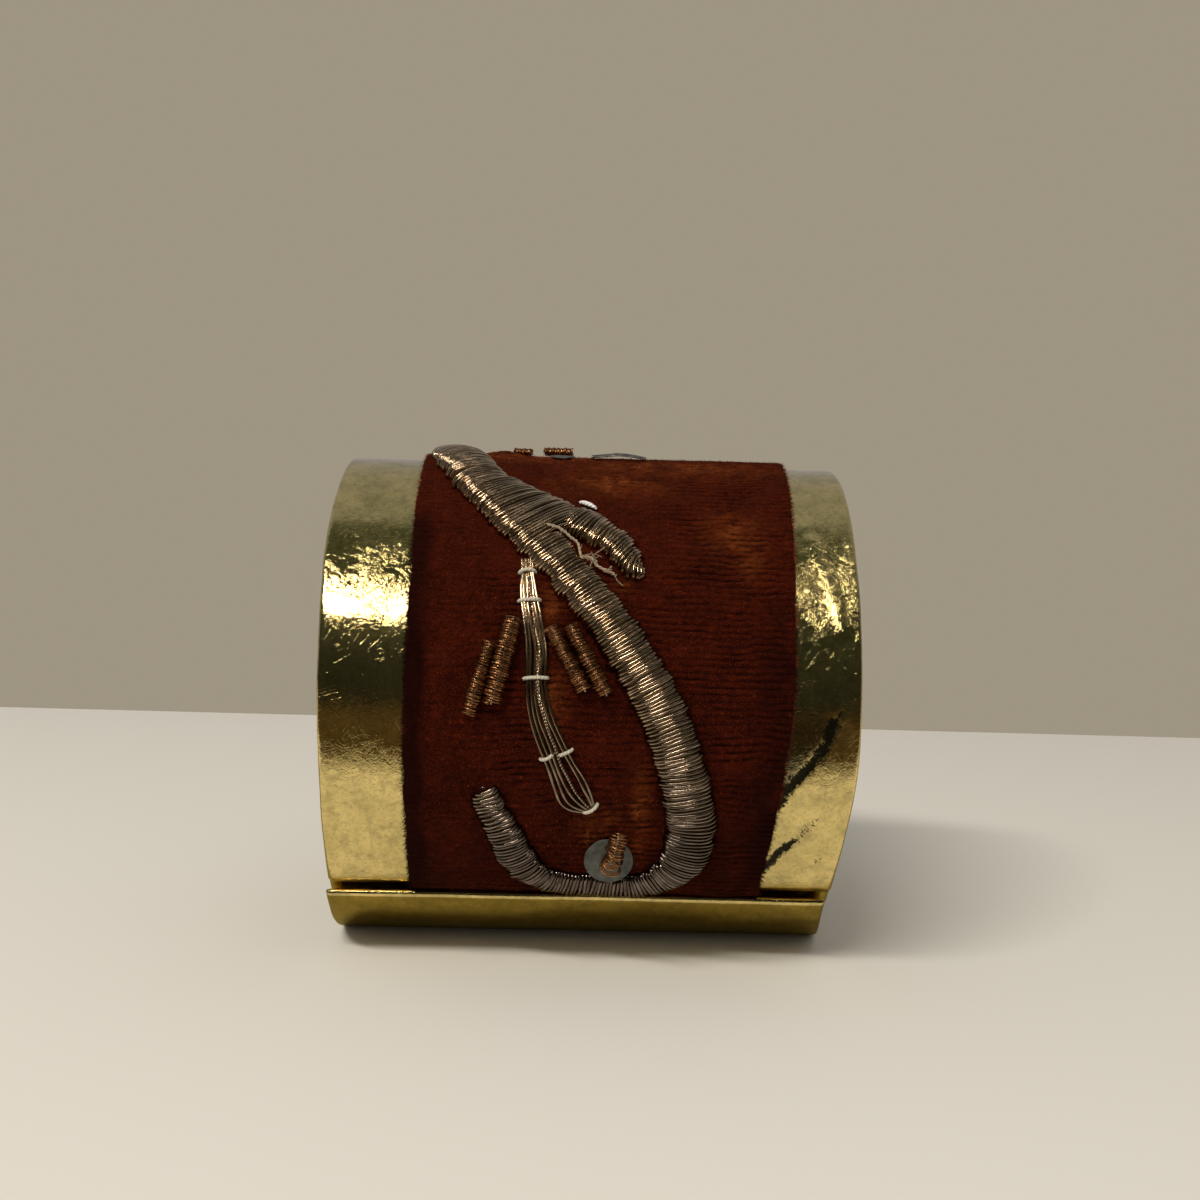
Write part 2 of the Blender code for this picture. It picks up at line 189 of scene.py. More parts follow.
class Course:
    """A smooth line on the velvet through (across, around, half width) points, sampled finely."""

    def __init__(self, points, samples=800):
        knots = np.array(points, float)
        steps = np.linalg.norm(np.diff(knots[:, :2], axis=0), axis=1)
        marks = np.concatenate([[0.0], np.cumsum(steps)])
        self.share = np.linspace(0.0, 1.0, samples)
        mark = self.share * marks[-1]
        i = np.clip(np.searchsorted(marks, mark, side="right") - 1, 0, len(steps) - 1)
        span = steps[i][:, None]
        t = ((mark - marks[i]) / steps[i])[:, None]
        back = steps[np.maximum(i - 1, 0)][:, None]
        ahead = steps[np.minimum(i + 1, len(steps) - 1)][:, None]
        leave = (knots[i + 1] - knots[np.maximum(i - 1, 0)]) * span / (span + back)
        arrive = (knots[np.minimum(i + 2, len(steps))] - knots[i]) * span / (span + ahead)
        h1 = 2.0 * t**3 - 3.0 * t**2 + 1.0
        h2 = t**3 - 2.0 * t**2 + t
        h3 = t**3 - t**2
        line = knots[i] * h1 + leave * h2 + knots[i + 1] * (1.0 - h1) + arrive * h3
        run = np.gradient(line[:, :2], axis=0)
        run /= np.linalg.norm(run, axis=1)[:, None]
        self.line = np.column_stack([line, -run[:, 1], run[:, 0]])
        self.length = np.linalg.norm(np.diff(line[:, :2], axis=0), axis=1).sum()

    def read(self, share, column):
        return np.interp(share, self.share, self.line[:, column])

    def half_at(self, share):
        return self.read(share, 2)

    def lift(self, share, side, height):
        """Points at a distance to the right of the line and at a height above the velvet."""
        across = self.read(share, 0) + self.read(share, 3) * side
        around = self.read(share, 1) + self.read(share, 4) * side
        return on_velvet(across, around, height)


def padded_height(half_width):
    return 0.32 + 0.48 * half_width


# ---------------------------------------------------------------- meshes


def put(name, data):
    """A new object in the scene."""
    made = bpy.data.objects.new(name, data)
    bpy.context.scene.collection.objects.link(made)
    return made


def make_object(name, points, quads, surface, fields, triangles=(), normals=None):
    """A smooth mesh object from arrays, with vector fields stored for its material to read."""
    mesh = bpy.data.meshes.new(name)
    points = np.asarray(points, np.float32).reshape(-1, 3)
    triangles = np.asarray(triangles, np.int32).reshape(-1, 3)
    sizes = np.array([4] * len(quads) + [3] * len(triangles), np.int32)
    corners = np.concatenate([quads.ravel(), triangles.ravel()]).astype(np.int32)
    mesh.vertices.add(len(points))
    mesh.vertices.foreach_set("co", points.ravel())
    mesh.loops.add(len(corners))
    mesh.loops.foreach_set("vertex_index", corners)
    mesh.polygons.add(len(sizes))
    mesh.polygons.foreach_set("loop_start", np.cumsum(sizes, dtype=np.int32) - sizes)
    mesh.polygons.foreach_set("loop_total", sizes)
    mesh.update(calc_edges=True)
    mesh.validate()
    mesh.shade_smooth()
    for key, values in fields.items():
        field = mesh.attributes.new(key, "FLOAT_VECTOR", "POINT")
        field.data.foreach_set("vector", np.asarray(values, np.float32).ravel())
    if normals is not None:
        mesh.normals_split_custom_set_from_vertices(np.asarray(normals, float).reshape(-1, 3).tolist())
    mesh.materials.append(surface)
    return put(name, mesh)


def fit(piece, body, slot, *nodes):
    """Sets what the piece moves with and which frame nodes it stands for; the slot, where its finish would
    come from, is not used.

    The body called bend is the stretch over the spring between the band and the lap; it stays where it is
    and moves with neither.
    """
    if body == "bend":
        turn = math.radians(SPRING_ANGLE)
        along = Vector((0.0, math.sin(turn), math.cos(turn)))
        along *= WALL_RADIUS * MM * math.sin(math.radians((BEND[1] - BEND[0]) / 2.0))
        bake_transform(piece)
    else:
        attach(piece, body)
    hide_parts(*nodes)
    return piece


def wrap_faces(rows, columns):
    """Quads between neighbouring rows of closed outlines."""
    row = np.arange(rows - 1)[:, None] * columns
    column = np.arange(columns)[None, :]
    after = (column + 1) % columns
    quads = np.stack([row + column, row + after, row + columns + after, row + columns + column], -1)
    return quads.reshape(-1, 4)


def closed_strip(rows, columns):
    """As wrap_faces(), with each end closed by quads between opposite points of its outline."""
    near = np.arange(columns // 2 - 1)
    far = columns - 1 - near
    cap = np.stack([near, near + 1, far - 1, far], axis=-1)
    return np.concatenate([wrap_faces(rows, columns), cap[:, ::-1], cap + (rows - 1) * columns])


def rounded_outline(left, right, half, columns, rim):
    """Across and lift of closed outlines: the outer face, the right rim, the inner face, the left rim."""
    share = np.linspace(0.0, 1.0, columns)[None, :]
    flat = left + half + (right - left - 2.0 * half) * share
    turn = np.linspace(QUARTER, -QUARTER, rim + 2)[None, 1:-1]
    edge = half * np.cos(turn)
    level = half + 0.0 * flat
    across = np.concatenate([flat, right - half + edge, flat[:, ::-1], left + half - edge], axis=1)
    lift = np.concatenate([level, half * np.sin(turn), -level, -half * np.sin(turn)], axis=1)
    return across, lift


def grid_normals(grid, outward):
    """Vertex normals of a grid of closed outlines, pointing the way of the outward vectors."""
    along = np.gradient(grid, axis=0)
    around = np.roll(grid, -1, axis=1) - np.roll(grid, 1, axis=1)
    normal = np.cross(along, around)
    normal /= np.linalg.norm(normal, axis=-1, keepdims=True) + 1e-12
    return normal * np.sign((normal * outward).sum(-1).sum())


def distinct(angles):
    """Sorted rows without any that nearly coincide."""
    angles = np.unique(np.round(angles, 4))
    return angles[np.concatenate([[True], np.diff(angles) > 0.02])]


def shell_stretches(name, angles, section, surface, slot, *nodes):
    """A long shell round the ring in three pieces: on the band, over the spring and on the lap.

    section(angles) gives the across and radius grids of one closed outline per row, and the fields
    that the material reads. The outlines run along the outer face, then back along the inner one.
    """
    across, radius, fields = section(angles)
    grid = place(across, angles[:, None], radius)
    normal = grid_normals(grid, grid - grid.mean(axis=1, keepdims=True))
    made = []
    for label, body, first, last in STRETCHES:
        rows = np.nonzero((angles >= first - 1e-6) & (angles <= last + 1e-6))[0]
        own = {key: field[rows] for key, field in fields.items()}
        quads = closed_strip(len(rows), grid.shape[1])
        piece = make_object(f"{name}_{label}", grid[rows], quads, surface, own, normals=normal[rows])
        made.append(fit(piece, body, slot, *nodes))
    return made


def sweep(paths, radius, sides):
    """Round tubes along many paths at once: points, quads, cap triangles and thread fields.

    The fields hold the distance along the path, the turn around it and one value per tube.
    """
    count, steps, _ = paths.shape
    radius = np.broadcast_to(np.asarray(radius, float) * MM, (count, steps))
    tangent = np.gradient(paths, axis=1)
    tangent /= np.linalg.norm(tangent, axis=-1, keepdims=True) + 1e-12
    side = np.cross(tangent[:, 0], (0.31, 0.83, 0.46))
    sides_of = []
    for step in range(steps):
        run = tangent[:, step]
        side = side - run * (side * run).sum(-1, keepdims=True)
        side = side / (np.linalg.norm(side, axis=-1, keepdims=True) + 1e-12)
        sides_of.append(side)
    first = np.stack(sides_of, axis=1)
    second = np.cross(tangent, first)
    around = np.arange(sides)
    turn = 2.0 * np.pi * around[:, None] / sides
    ring = first[:, :, None] * np.cos(turn) + second[:, :, None] * np.sin(turn)
    body = paths[:, :, None] + ring * radius[:, :, None, None]
    nose = tangent * radius[:, :, None] * 0.4
    ends = np.stack([paths[:, 0] - nose[:, 0], paths[:, -1] + nose[:, -1]], axis=1)
    points = np.concatenate([body.reshape(count, -1, 3), ends], axis=1)
    shift = (np.arange(count) * points.shape[1])[:, None, None]
    after = (around + 1) % sides
    last = (steps - 1) * sides
    tip = np.full(sides, steps * sides)
    start_cap = np.stack([after, around, tip], axis=1)
    end_cap = np.stack([last + around, last + after, tip + 1], axis=1)
    quads = (wrap_faces(steps, sides)[None] + shift).reshape(-1, 4)
    triangles = (np.concatenate([start_cap, end_cap])[None] + shift).reshape(-1, 3)
    run = np.linalg.norm(np.diff(paths, axis=1), axis=-1) / MM
    along = np.concatenate([np.zeros((count, 1)), np.cumsum(run, axis=1)], axis=1)
    field = np.zeros((count, points.shape[1], 3))
    field[:, : steps * sides, 0] = np.repeat(along, sides, axis=1)
    field[:, : steps * sides, 1] = np.tile(around / sides, (count, steps))
    field[:, -1, 0] = along[:, -1]
    field[:, :, 2] = np.random.default_rng(SEED + count).uniform(0.0, 1.0, (count, 1))
    return points, quads, triangles, field


def thread(name, paths, radius, sides, surface, slot, node):
    """Round threads or wires on the band, from one path or many."""
    paths = np.asarray(paths, float)
    paths = paths.reshape(-1, *paths.shape[-2:])
    points, quads, triangles, field = sweep(paths, radius, sides)
    piece = make_object(name, points, quads, surface, {"thread": field}, triangles)
    return fit(piece, "band", slot, node)


# ---------------------------------------------------------------- materials


class Value:
    """One output of a shader node, so that a look can be written as sums and products."""

    def __init__(self, look, socket):
        self.look = look
        self.socket = socket

    def __add__(self, other):
        return self.look.math("ADD", self, other)

    def __sub__(self, other):
        return self.look.math("SUBTRACT", self, other)

    def __mul__(self, other):
        return self.look.math("MULTIPLY", self, other)

    def __abs__(self):
        return self.look.math("ABSOLUTE", self)

    def most(self, other):
        return self.look.math("MAXIMUM", self, other)

    def span(self, low, high, to_low=0.0, to_high=1.0):
        """The share of the way from low to high, held between the two ends."""
        values = {"Value": self, "From Min": low, "From Max": high, "To Min": to_low, "To Max": to_high}
        return self.look.take("MapRange", "Result", values, clamp=True)


class Look:
    """The shader nodes of one material or world, each written as a function of others."""

    def __init__(self, owner):
        owner.use_nodes = True
        self.owner = owner
        self.tree = owner.node_tree

    def add(self, kind, values=(), **settings):
        node = self.tree.nodes.new("ShaderNode" + kind)
        for key, value in settings.items():
            setattr(node, key, value)
        for key, value in dict(values).items():
            self.feed(node.inputs[key], value)
        return node

    def feed(self, socket, value):
        if isinstance(value, Value):
            self.tree.links.new(value.socket, socket)
        elif isinstance(value, tuple) and socket.type == "RGBA":
            socket.default_value = (*value, 1.0)
        else:
            socket.default_value = value

    def take(self, kind, output, values=(), **settings):
        return Value(self, self.add(kind, values, **settings).outputs[output])

    def read(self, field):
        return self.take("Attribute", "Vector", attribute_name=field)

    def split(self, vector):
        return [self.take("SeparateXYZ", axis, {"Vector": vector}) for axis in "XYZ"]

    def stretch(self, vector, scale=(1.0, 1.0, 1.0), shift=(0.0, 0.0, 0.0), turn=0.0):
        values = {"Vector": vector, "Scale": scale, "Location": shift, "Rotation": (0.0, 0.0, turn)}
        return self.take("Mapping", "Vector", values)

    def noise(self, vector, scale, detail=3.0, rough=0.55, twist=0.0):
        values = {"Vector": vector, "Scale": scale, "Detail": detail, "Roughness": rough}
        values["Distortion"] = twist
        return self.take("TexNoise", "Fac", values)

    def math(self, operation, first, second=0.0):
        return self.take("Math", 0, {0: first, 1: second}, operation=operation)

    def mix(self, factor, first, second, blend="MIX"):
        values = {"Factor": factor, 6: first, 7: second}
        return self.take("Mix", 2, values, data_type="RGBA", blend_type=blend)

    def coats(self, tone, *coats):
        """Lays colours over one another, each through its own mask."""
        for mask, colour in coats:
            tone = self.mix(mask, tone, colour)
        return tone

    def bump(self, height, distance, strength=1.0):
        values = {"Height": height, "Distance": distance * MM, "Strength": strength}
        return self.take("Bump", "Normal", values)

    def done(self, **values):
        """Feeds the Principled shader and gives the finished material."""
        for key, value in values.items():
            self.feed(self.tree.nodes["Principled BSDF"].inputs[key.replace("_", " ")], value)
        return self.owner


def new_look(name, field="thread"):
    look = Look(bpy.data.materials.new(name))
    return look, look.read(field)


def hairlines(look, sheet, turn, seed, width=0.011):
    """Thin broken scratches that run mostly one way across the sheet."""
    turned = look.stretch(sheet, turn=turn)
    lines = look.noise(look.stretch(turned, (2.0, 0.22, 1.0), (seed, 2.0 * seed, 0.0)), 1.0, 1.0, 0.3)
    broken = look.noise(look.stretch(sheet, shift=(9.0 * seed, seed, 0.0)), 0.55, 3.0, 0.6)
    return abs(lines - 0.5).span(0.0, width, 1.0, 0.0) * broken.span(0.50, 0.60)


def brass_look():
    """Old polished brass: crumpled, scratched, smudged and darker in its pits and creases, with a dull brown
    reflection painted above its long crease as painted shade.
    """
    look, sheet = new_look("worn_brass", "sheet")
    cloud = look.noise(sheet, 0.30, 6.0, 0.68)
    smudge = look.noise(look.stretch(sheet, shift=(4.0, 11.0, 0.0)), 0.75, 6.0, 0.7)
    mottle = look.noise(look.stretch(sheet, (1.0, 0.7, 1.0), (6.0, 3.0, 0.0)), 1.0, 7.0, 0.75)
    broad = look.noise(look.stretch(sheet, shift=(2.0, 5.0, 0.0)), 0.42, 2.0, 0.5)
    tatter = look.noise(look.stretch(sheet, shift=(1.0, 8.0, 0.0)), 2.6, 5.0, 0.72, 1.1)
    fine = look.noise(sheet, 3.4, 5.0, 0.7)
    foil = look.noise(sheet, 3.1, 2.0, 0.5, 1.8)
    ridge = abs(look.noise(sheet, 1.15, 3.0, 0.6, 1.6) - 0.5).span(0.0, 0.16, 1.0, 0.0)
    # The sheet's field gives the darkness of the creases, how crumpled the sheet is and where a dull
    # reflection is painted as painted shade.
    blotch, crumple, dull = look.split(look.read("blotch"))
    scratches = hairlines(look, sheet, 0.62, 1.0).most(hairlines(look, sheet, -0.45, 2.0))
    scratches = scratches.most(hairlines(look, sheet, 1.25, 3.0, 0.008))
    pit = look.take("TexVoronoi", "Distance", {"Vector": sheet, "Scale": 2.3, "Randomness": 1.0})
    pit = pit.span(0.04, 0.13, 1.0, 0.0) * look.noise(sheet, 0.45, 2.0).span(0.47, 0.60)
    # The creases are ragged: their soft edges are broken up by a fine noise.
    crease = blotch + (tatter - 0.5) * 2.3
    crease = crease.span(0.50, 0.66) * blotch.span(0.03, 0.15)
    # Darker in the pits and along the creases.
    dark_marks = (pit * 0.45).most(crease)
    tone = look.coats(
        (0.90, 0.70, 0.285),
        (cloud.span(0.38, 0.64), (0.68, 0.545, 0.21)),
        (smudge.span(0.50, 0.70, 0.0, 0.75), (0.46, 0.385, 0.165)),
        # Painted shade: above the long crease the colour is painted a dull olive brown in place of a dull
        # reflection.
        (dull * tatter.span(0.3, 0.55, 0.7, 1.0), (0.17, 0.15, 0.085)),
        (fine.span(0.50, 0.72, 0.0, 0.60), (0.38, 0.30, 0.12)),
        (mottle.span(0.48, 0.62, 0.0, 0.34), (0.30, 0.245, 0.11)),
        (scratches * 0.35, (0.30, 0.24, 0.10)),
        (dark_marks, (0.024, 0.021, 0.012)),
    )
    roughness = smudge.span(0.36, 0.68, 0.045, 0.13) + fine.span(0.45, 0.75, 0.0, 0.06) + dark_marks * 0.4
    height = ridge * crumple * 1.3 + foil * crumple * 0.8 + broad * 1.5
    height = height + scratches * -0.28 + pit * -0.4 + fine * 0.30
    return look.done(Base_Color=tone, Metallic=1.0, Roughness=roughness, Normal=look.bump(height, 0.02))


def velvet_look():
    """Rust velvet worn along its ribs, paler where the pile has gone, darker by its edges and low down, and
    painted darker in the grooves between its ribs as painted shade.
    """
    look, sheet = new_look("rust_velvet", "sheet")
    height = look.split(sheet)[2]
    bare, thick, _ = look.split(look.read("wear"))
    cloud = look.noise(sheet, 0.22, 5.0, 0.68)
    clump = look.noise(look.stretch(sheet, (0.8, 1.5, 1.0)), 1.5, 5.0, 0.72)
    fibre = look.noise(look.stretch(sheet, (1.0, 1.6, 1.0)), 7.5, 4.0, 0.75)
    thin = look.math("SUBTRACT", 1.0, thick * 0.9)
    tone = look.coats(
        (0.020, 0.0015, 0.0006),
        (cloud.span(0.40, 0.62), (0.060, 0.0062, 0.0016)),
        (bare * clump.span(0.36, 0.60, 0.25, 1.0), (0.24, 0.062, 0.012)),
        (thick * 0.85, (0.0060, 0.0013, 0.0013)),
        (fibre.span(0.50, 0.64, 0.0, 0.85) * thin, (0.215, 0.034, 0.010)),
        (clump.span(0.50, 0.34, 0.0, 0.6), (0.009, 0.0013, 0.0007)),
        # Painted shade: the velvet is painted darker where it lies low in the grooves between its ribs.
        (height.span(-0.15, 0.03, 0.92, 0.0), (0.0055, 0.0010, 0.0007)),
    )
    sheen = {"Sheen_Weight": 0.07, "Sheen_Roughness": 0.4, "Sheen_Tint": (0.85, 0.15, 0.04)}
    normal = look.bump(clump * 1.1 + fibre, 0.34)
    return look.done(Base_Color=tone, Roughness=0.9, Specular_IOR_Level=0.04, Normal=normal, **sheen)


def pile_look():
    look, sheet = new_look("velvet_pile", "sheet")
    bare, thick, _ = look.split(look.read("wear"))
    tone = look.coats(
        (0.020, 0.0017, 0.0006),
        (look.noise(sheet, 2.6).span(0.44, 0.62), (0.215, 0.036, 0.009)),
        (bare, (0.27, 0.075, 0.016)),
        (thick * 0.92, (0.0085, 0.0017, 0.0016)),
    )
    return look.done(Base_Color=tone, Roughness=0.8, Specular_IOR_Level=0.05)


def linen_look():
    look, sheet = new_look("linen", "sheet")
    across, around, _ = look.split(sheet)
    weave_pitch = 0.5
    warp = look.math("SINE", across * (2.0 * math.pi / weave_pitch))
    weft = look.math("SINE", around * (2.0 * math.pi / weave_pitch))
    weave = warp * weft
    tone = look.coats(
        (0.42, 0.35, 0.24),
        (look.noise(sheet, 1.2, 4.0), (0.56, 0.49, 0.36)),
        # Painted shade: the linen is painted darker in the hollows of its weave.
        (weave.span(-0.2, 0.4, 0.35, 0.0), (0.2, 0.15, 0.09)),
    )
    return look.done(Base_Color=tone, Roughness=0.92, Normal=look.bump(weave, 0.05))


def cotton_look():
    look, strand = new_look("padding_cotton")
    fuzz = look.noise(strand, 7.0, 5.0, 0.7)
    tone = look.mix(fuzz.span(0.35, 0.65), (0.11, 0.06, 0.03), (0.42, 0.27, 0.14))
    return look.done(Base_Color=tone, Roughness=0.95, Normal=look.bump(fuzz, 0.12))


def spun_ridges(look, strand, pitch, lean=1.0):
    """Height of the fine ridges that wind round a thread."""
    along, around, _ = look.split(strand)
    return look.math("SINE", along * (2.0 * math.pi / pitch) + around * (2.0 * math.pi * lean))


def metal_thread_look(name, bright, dull, tarnish):
    """Flat silver strip wound round a core: metallic, finely ridged and unevenly tarnished, with painted
    shade low on the ring and painted light high up.
    """
    look, strand = new_look(name)
    tint = look.split(strand)[2]
    height = look.split(look.take("NewGeometry", "Position"))[2]
    blotch = look.noise(look.stretch(strand, (0.6, 0.0, 40.0)), 1.0, 4.0, 0.6)
    tone = look.coats(bright, (tint.span(0.0, 1.0), dull), (blotch.span(0.46, 0.70), tarnish))
    # The colour is painted darker low on the ring and brighter high up, painted shade and painted light that
    # even out what the metal mirrors of the floor and the room.
    painted_light_by_height = look.mix(height.span(0.0125, 0.035), (0.285, 0.29, 0.325), (1.02, 0.97, 0.85))
    tone = look.mix(1.0, tone, painted_light_by_height, "MULTIPLY")
    roughness = blotch.span(0.35, 0.7, 0.12, 0.25)
    normal = look.bump(spun_ridges(look, strand, 0.13), 0.01, 0.13)
    return look.done(Base_Color=tone, Metallic=1.0, Roughness=roughness, Normal=normal)


def silver_look():
    colours = ((0.82, 0.635, 0.475), (0.36, 0.265, 0.185), (0.17, 0.12, 0.075))
    return metal_thread_look("silver_thread", *colours)


def passing_look():
    colours = ((1.0, 0.80, 0.60), (0.62, 0.47, 0.34), (0.28, 0.20, 0.13))
    return metal_thread_look("passing_thread", *colours)


def copper_look():
    look, strand = new_look("copper_purl")
    blotch = look.noise(look.stretch(strand, (0.5, 1.0, 30.0)), 1.3, 4.0, 0.6)
    facets = look.noise(look.stretch(strand, (1.0, 1.0, 20.0)), 9.0, 2.0, 0.5)
    tone = look.mix(blotch.span(0.38, 0.66), (0.57, 0.268, 0.108), (0.12, 0.052, 0.022))
    roughness = blotch.span(0.3, 0.7, 0.2, 0.4)
    return look.done(Base_Color=tone, Metallic=1.0, Roughness=roughness, Normal=look.bump(facets, 0.03))


def cotton_thread_look(name, light, dark):
    """Two-ply sewing thread with a slight twist."""
    look, strand = new_look(name)
    ridges = spun_ridges(look, strand, 0.34, 2.0)
    fuzz = look.noise(strand, 14.0, 4.0, 0.7)
    # Painted shade: the thread is painted darker in the grooves of its twist, and flecked darker by its
    # fuzz.
    masks = (ridges.span(-1.0, 0.4, 0.55, 0.0), fuzz.span(0.5, 0.7, 0.0, 0.4))
    tone = look.coats(light, *((mask, dark) for mask in masks))
    normal = look.bump(ridges + fuzz, 0.035)
    return look.done(Base_Color=tone, Roughness=0.85, Sheen_Weight=0.3, Normal=normal)


def spangle_look():
    """A thin disc of grey-green gelatine and metal leaf that has gone dull."""
    look, disc = new_look("dull_spangle")
    cloud = look.noise(disc, 0.9, 4.0, 0.6)
    speck = look.noise(disc, 6.0, 3.0, 0.6)
    tone = look.coats(
        (0.095, 0.098, 0.083),
        (cloud.span(0.36, 0.66), (0.036, 0.037, 0.031)),
        (speck.span(0.6, 0.7, 0.0, 0.5), (0.18, 0.18, 0.15)),
    )
    coat = {"Coat_Weight": 0.2, "Coat_Roughness": 0.35}
    roughness = cloud.span(0.3, 0.7, 0.34, 0.6)
    normal = look.bump(cloud + speck * 0.25, 0.12)
    return look.done(Base_Color=tone, Metallic=0.35, Roughness=roughness, Normal=normal, **coat)


def plate_look():
    look, strip = new_look("grey_plate")
    cloud = look.noise(strip, 1.5, 4.0, 0.6)
    tone = look.mix(cloud.span(0.4, 0.62), (0.33, 0.30, 0.24), (0.12, 0.10, 0.08))
    roughness = cloud.span(0.3, 0.7, 0.25, 0.5)
    return look.done(Base_Color=tone, Metallic=1.0, Roughness=roughness, Normal=look.bump(cloud, 0.05))


# ---------------------------------------------------------------- the brass sheet


def sheet_outer(angle):
    """The sheet's outer radius: it dips into the tuck, rises into the lap and is flat underneath."""
    angle = np.asarray(angle, float)
    radius = WALL_RADIUS - TUCK_DEPTH * (1.0 - smoothstep(*TUCK_BEND, angle))
    radius = radius + LAP_RISE * smoothstep(228.0, 256.0, angle)
    under = np.radians(angle - 270.0)
    flat = CENTRE_HEIGHT / np.maximum(np.cos(under), 0.5)
    is_flat = (radius * np.abs(np.sin(under)) < FLAT_HALF_WIDTH) & (angle > 180.0)
    return np.where(is_flat, flat, radius)


def lower_front(angle):
    first = smoothstep(0.0, -45.0, angle)
    return np.where(np.asarray(angle) < 90.0, first, 0.2 * smoothstep(280.0, LIP, angle))


def sheet_left(angle):
    return -HALF_WIDTH - 0.4 * hump(38.0, 30.0, angle) + 0.25 * lower_front(angle)


def sheet_right(angle):
    return HALF_WIDTH - 1.1 * lower_front(angle) - 1.45 * smoothstep(262.0, LIP, angle)


# Each crease as its line, its width, its depth and how dark it is.
CREASES = [
    (((22.4, 0.9), (21.7, -1.2), (20.2, -3.4), (18.6, -5.2), (17.4, -7.3)), 0.80, 0.12, 1.0),
    (((23.1, 1.9), (22.4, 0.9)), 0.45, 0.05, 0.75),
    (((19.4, -11.3), (18.4, -12.4), (16.9, -15.0)), 0.60, 0.10, 1.0),
    (((21.2, -8.9), (20.4, -10.0), (19.4, -11.3)), 0.75, 0.05, 0.55),
    (((22.6, -12.6), (21.4, -14.6)), 0.50, 0.03, 0.42),
]
SOFT_FOLD = ((20.9, 19.5), (21.6, 16.0), (22.7, 12.2), (23.3, 9.5))


def crease_depth(x, s):
    """Depth and darkness of the bruised creases low on the right-hand margin, and above them a patch of
    painted shade, a dull reflection painted into the colour.
    """
    depth = 0.0
    dark = 0.0
    ragged = 0.25 * noise(x * 1.9, s * 1.9, 31)
    for line, width, deep, black in CREASES:
        away = np.maximum(near_line(x, s, line) + ragged * width, 0.0)
        depth = depth + deep * hump(0.0, 0.75 * width, away)
        dark = np.maximum(dark, black * hump(0.0, width, away))
    # Above the long crease a patch of painted shade, a dull reflection painted into the colour, runs down to
    # the crease itself.
    above = (x - 22.4) * -0.854 + (s - 0.9) * 0.52
    dull = smoothstep(0.0, 0.5, above) * smoothstep(-9.2, -7.4, s) * smoothstep(3.0, 0.0, s) * (x > 14.0)
    return depth, dark, dull


def crumple_share(x, s):
    """How crumpled the sheet is: most where thumb and needle press on it, either side of the cloth."""
    left = hump(14.8, 3.6, s) * (x < -14.0) * (0.35 + 0.65 * hump(-20.3, 2.6, x))
    right = (0.45 * hump(14.5, 4.5, s) + hump(14.5, 5.5, s) * smoothstep(18.5, 21.5, x)) * (x > 14.0)
    lower = 0.35 * hump(-7.0, 9.0, s) * (np.abs(x) > 14.0)
    patchy = 0.8 + 0.45 * noise(x / 2.1, s / 2.1, 12)
    return np.clip((0.10 + left + right + lower) * patchy, 0.0, 1.3)


def sheet_relief(x, s, crumple):
    """How far the beaten sheet stands proud of its plain shape, in millimetres."""
    relief = 0.030 * noise(x / 6.5, s / 6.5, 3)
    relief += 0.010 * noise(x / 2.6, s / 2.6, 4)
    bend = 0.8 * noise(x / 1.7, s / 1.7, 13)
    sharp = 1.0 - np.abs(noise(x / 1.25 + bend, s / 1.05 - bend, 5)) * 2.2
    relief += 0.013 * crumple * sharp
    relief += 0.006 * crumple * noise(x / 0.55, s / 0.55, 6)
    # A long soft fold and a dent by the right-hand edge.
    fold = near_line(x, s, SOFT_FOLD)
    relief += 0.085 * hump(0.0, 0.55, fold) - 0.05 * hump(1.0, 0.6, fold)
    return relief - 0.10 * hump(21.4, 0.9, x) * hump(12.2, 1.1, s)


def sheet_section(angles):
    """The sheet's outlines and fields."""
    columns = 210
    rim = 5
    from_end = np.minimum(angles - TUCKED_END, LIP - angles) * math.radians(1.0) * WALL_RADIUS
    nose = np.clip(from_end / (SHEET / 2.0), 0.0, 1.0)
    half = (SHEET / 2.0 * np.sqrt(np.maximum(1.0 - (1.0 - nose) ** 2, 0.03)))[:, None]
    middle = sheet_outer(angles)[:, None] - SHEET / 2.0
    left = sheet_left(angles)[:, None]
    right = sheet_right(angles)[:, None]
    across, lift = rounded_outline(left, right, half, columns, rim)
    around = np.radians(angles)[:, None] * WALL_RADIUS
    edge = 0.063 * noise(around / 3.3, across / 60.0, 8)
    across = across + edge * smoothstep(HALF_WIDTH - 1.5, HALF_WIDTH, np.abs(across))
    on_front = (angles < 90.0)[:, None]
    depth, dark, dull = crease_depth(across, around)
    crumple = crumple_share(across, around)
    on_foot = (1.0 - hump(270.0, 9.0, angles))[:, None]
    relief = (sheet_relief(across, around, crumple) - depth * on_front) * on_foot
    wave = 0.17 * noise(across / 7.0, 0.5, 11) * smoothstep(LIP - 14.0, LIP, angles)[:, None]
    crumple = crumple * on_front + 0.25 * (1.0 - on_front)
    # The field carries the darkness of the creases, how crumpled the sheet is and the painted shade above
    # the long crease.
    blotch = np.where(lift > 0.0, dark * on_front, 0.0)
    fields = {"sheet": triple(across, around, lift * 2.0), "blotch": triple(blotch, crumple, dull * on_front)}
    return across, middle + lift + relief + wave, fields


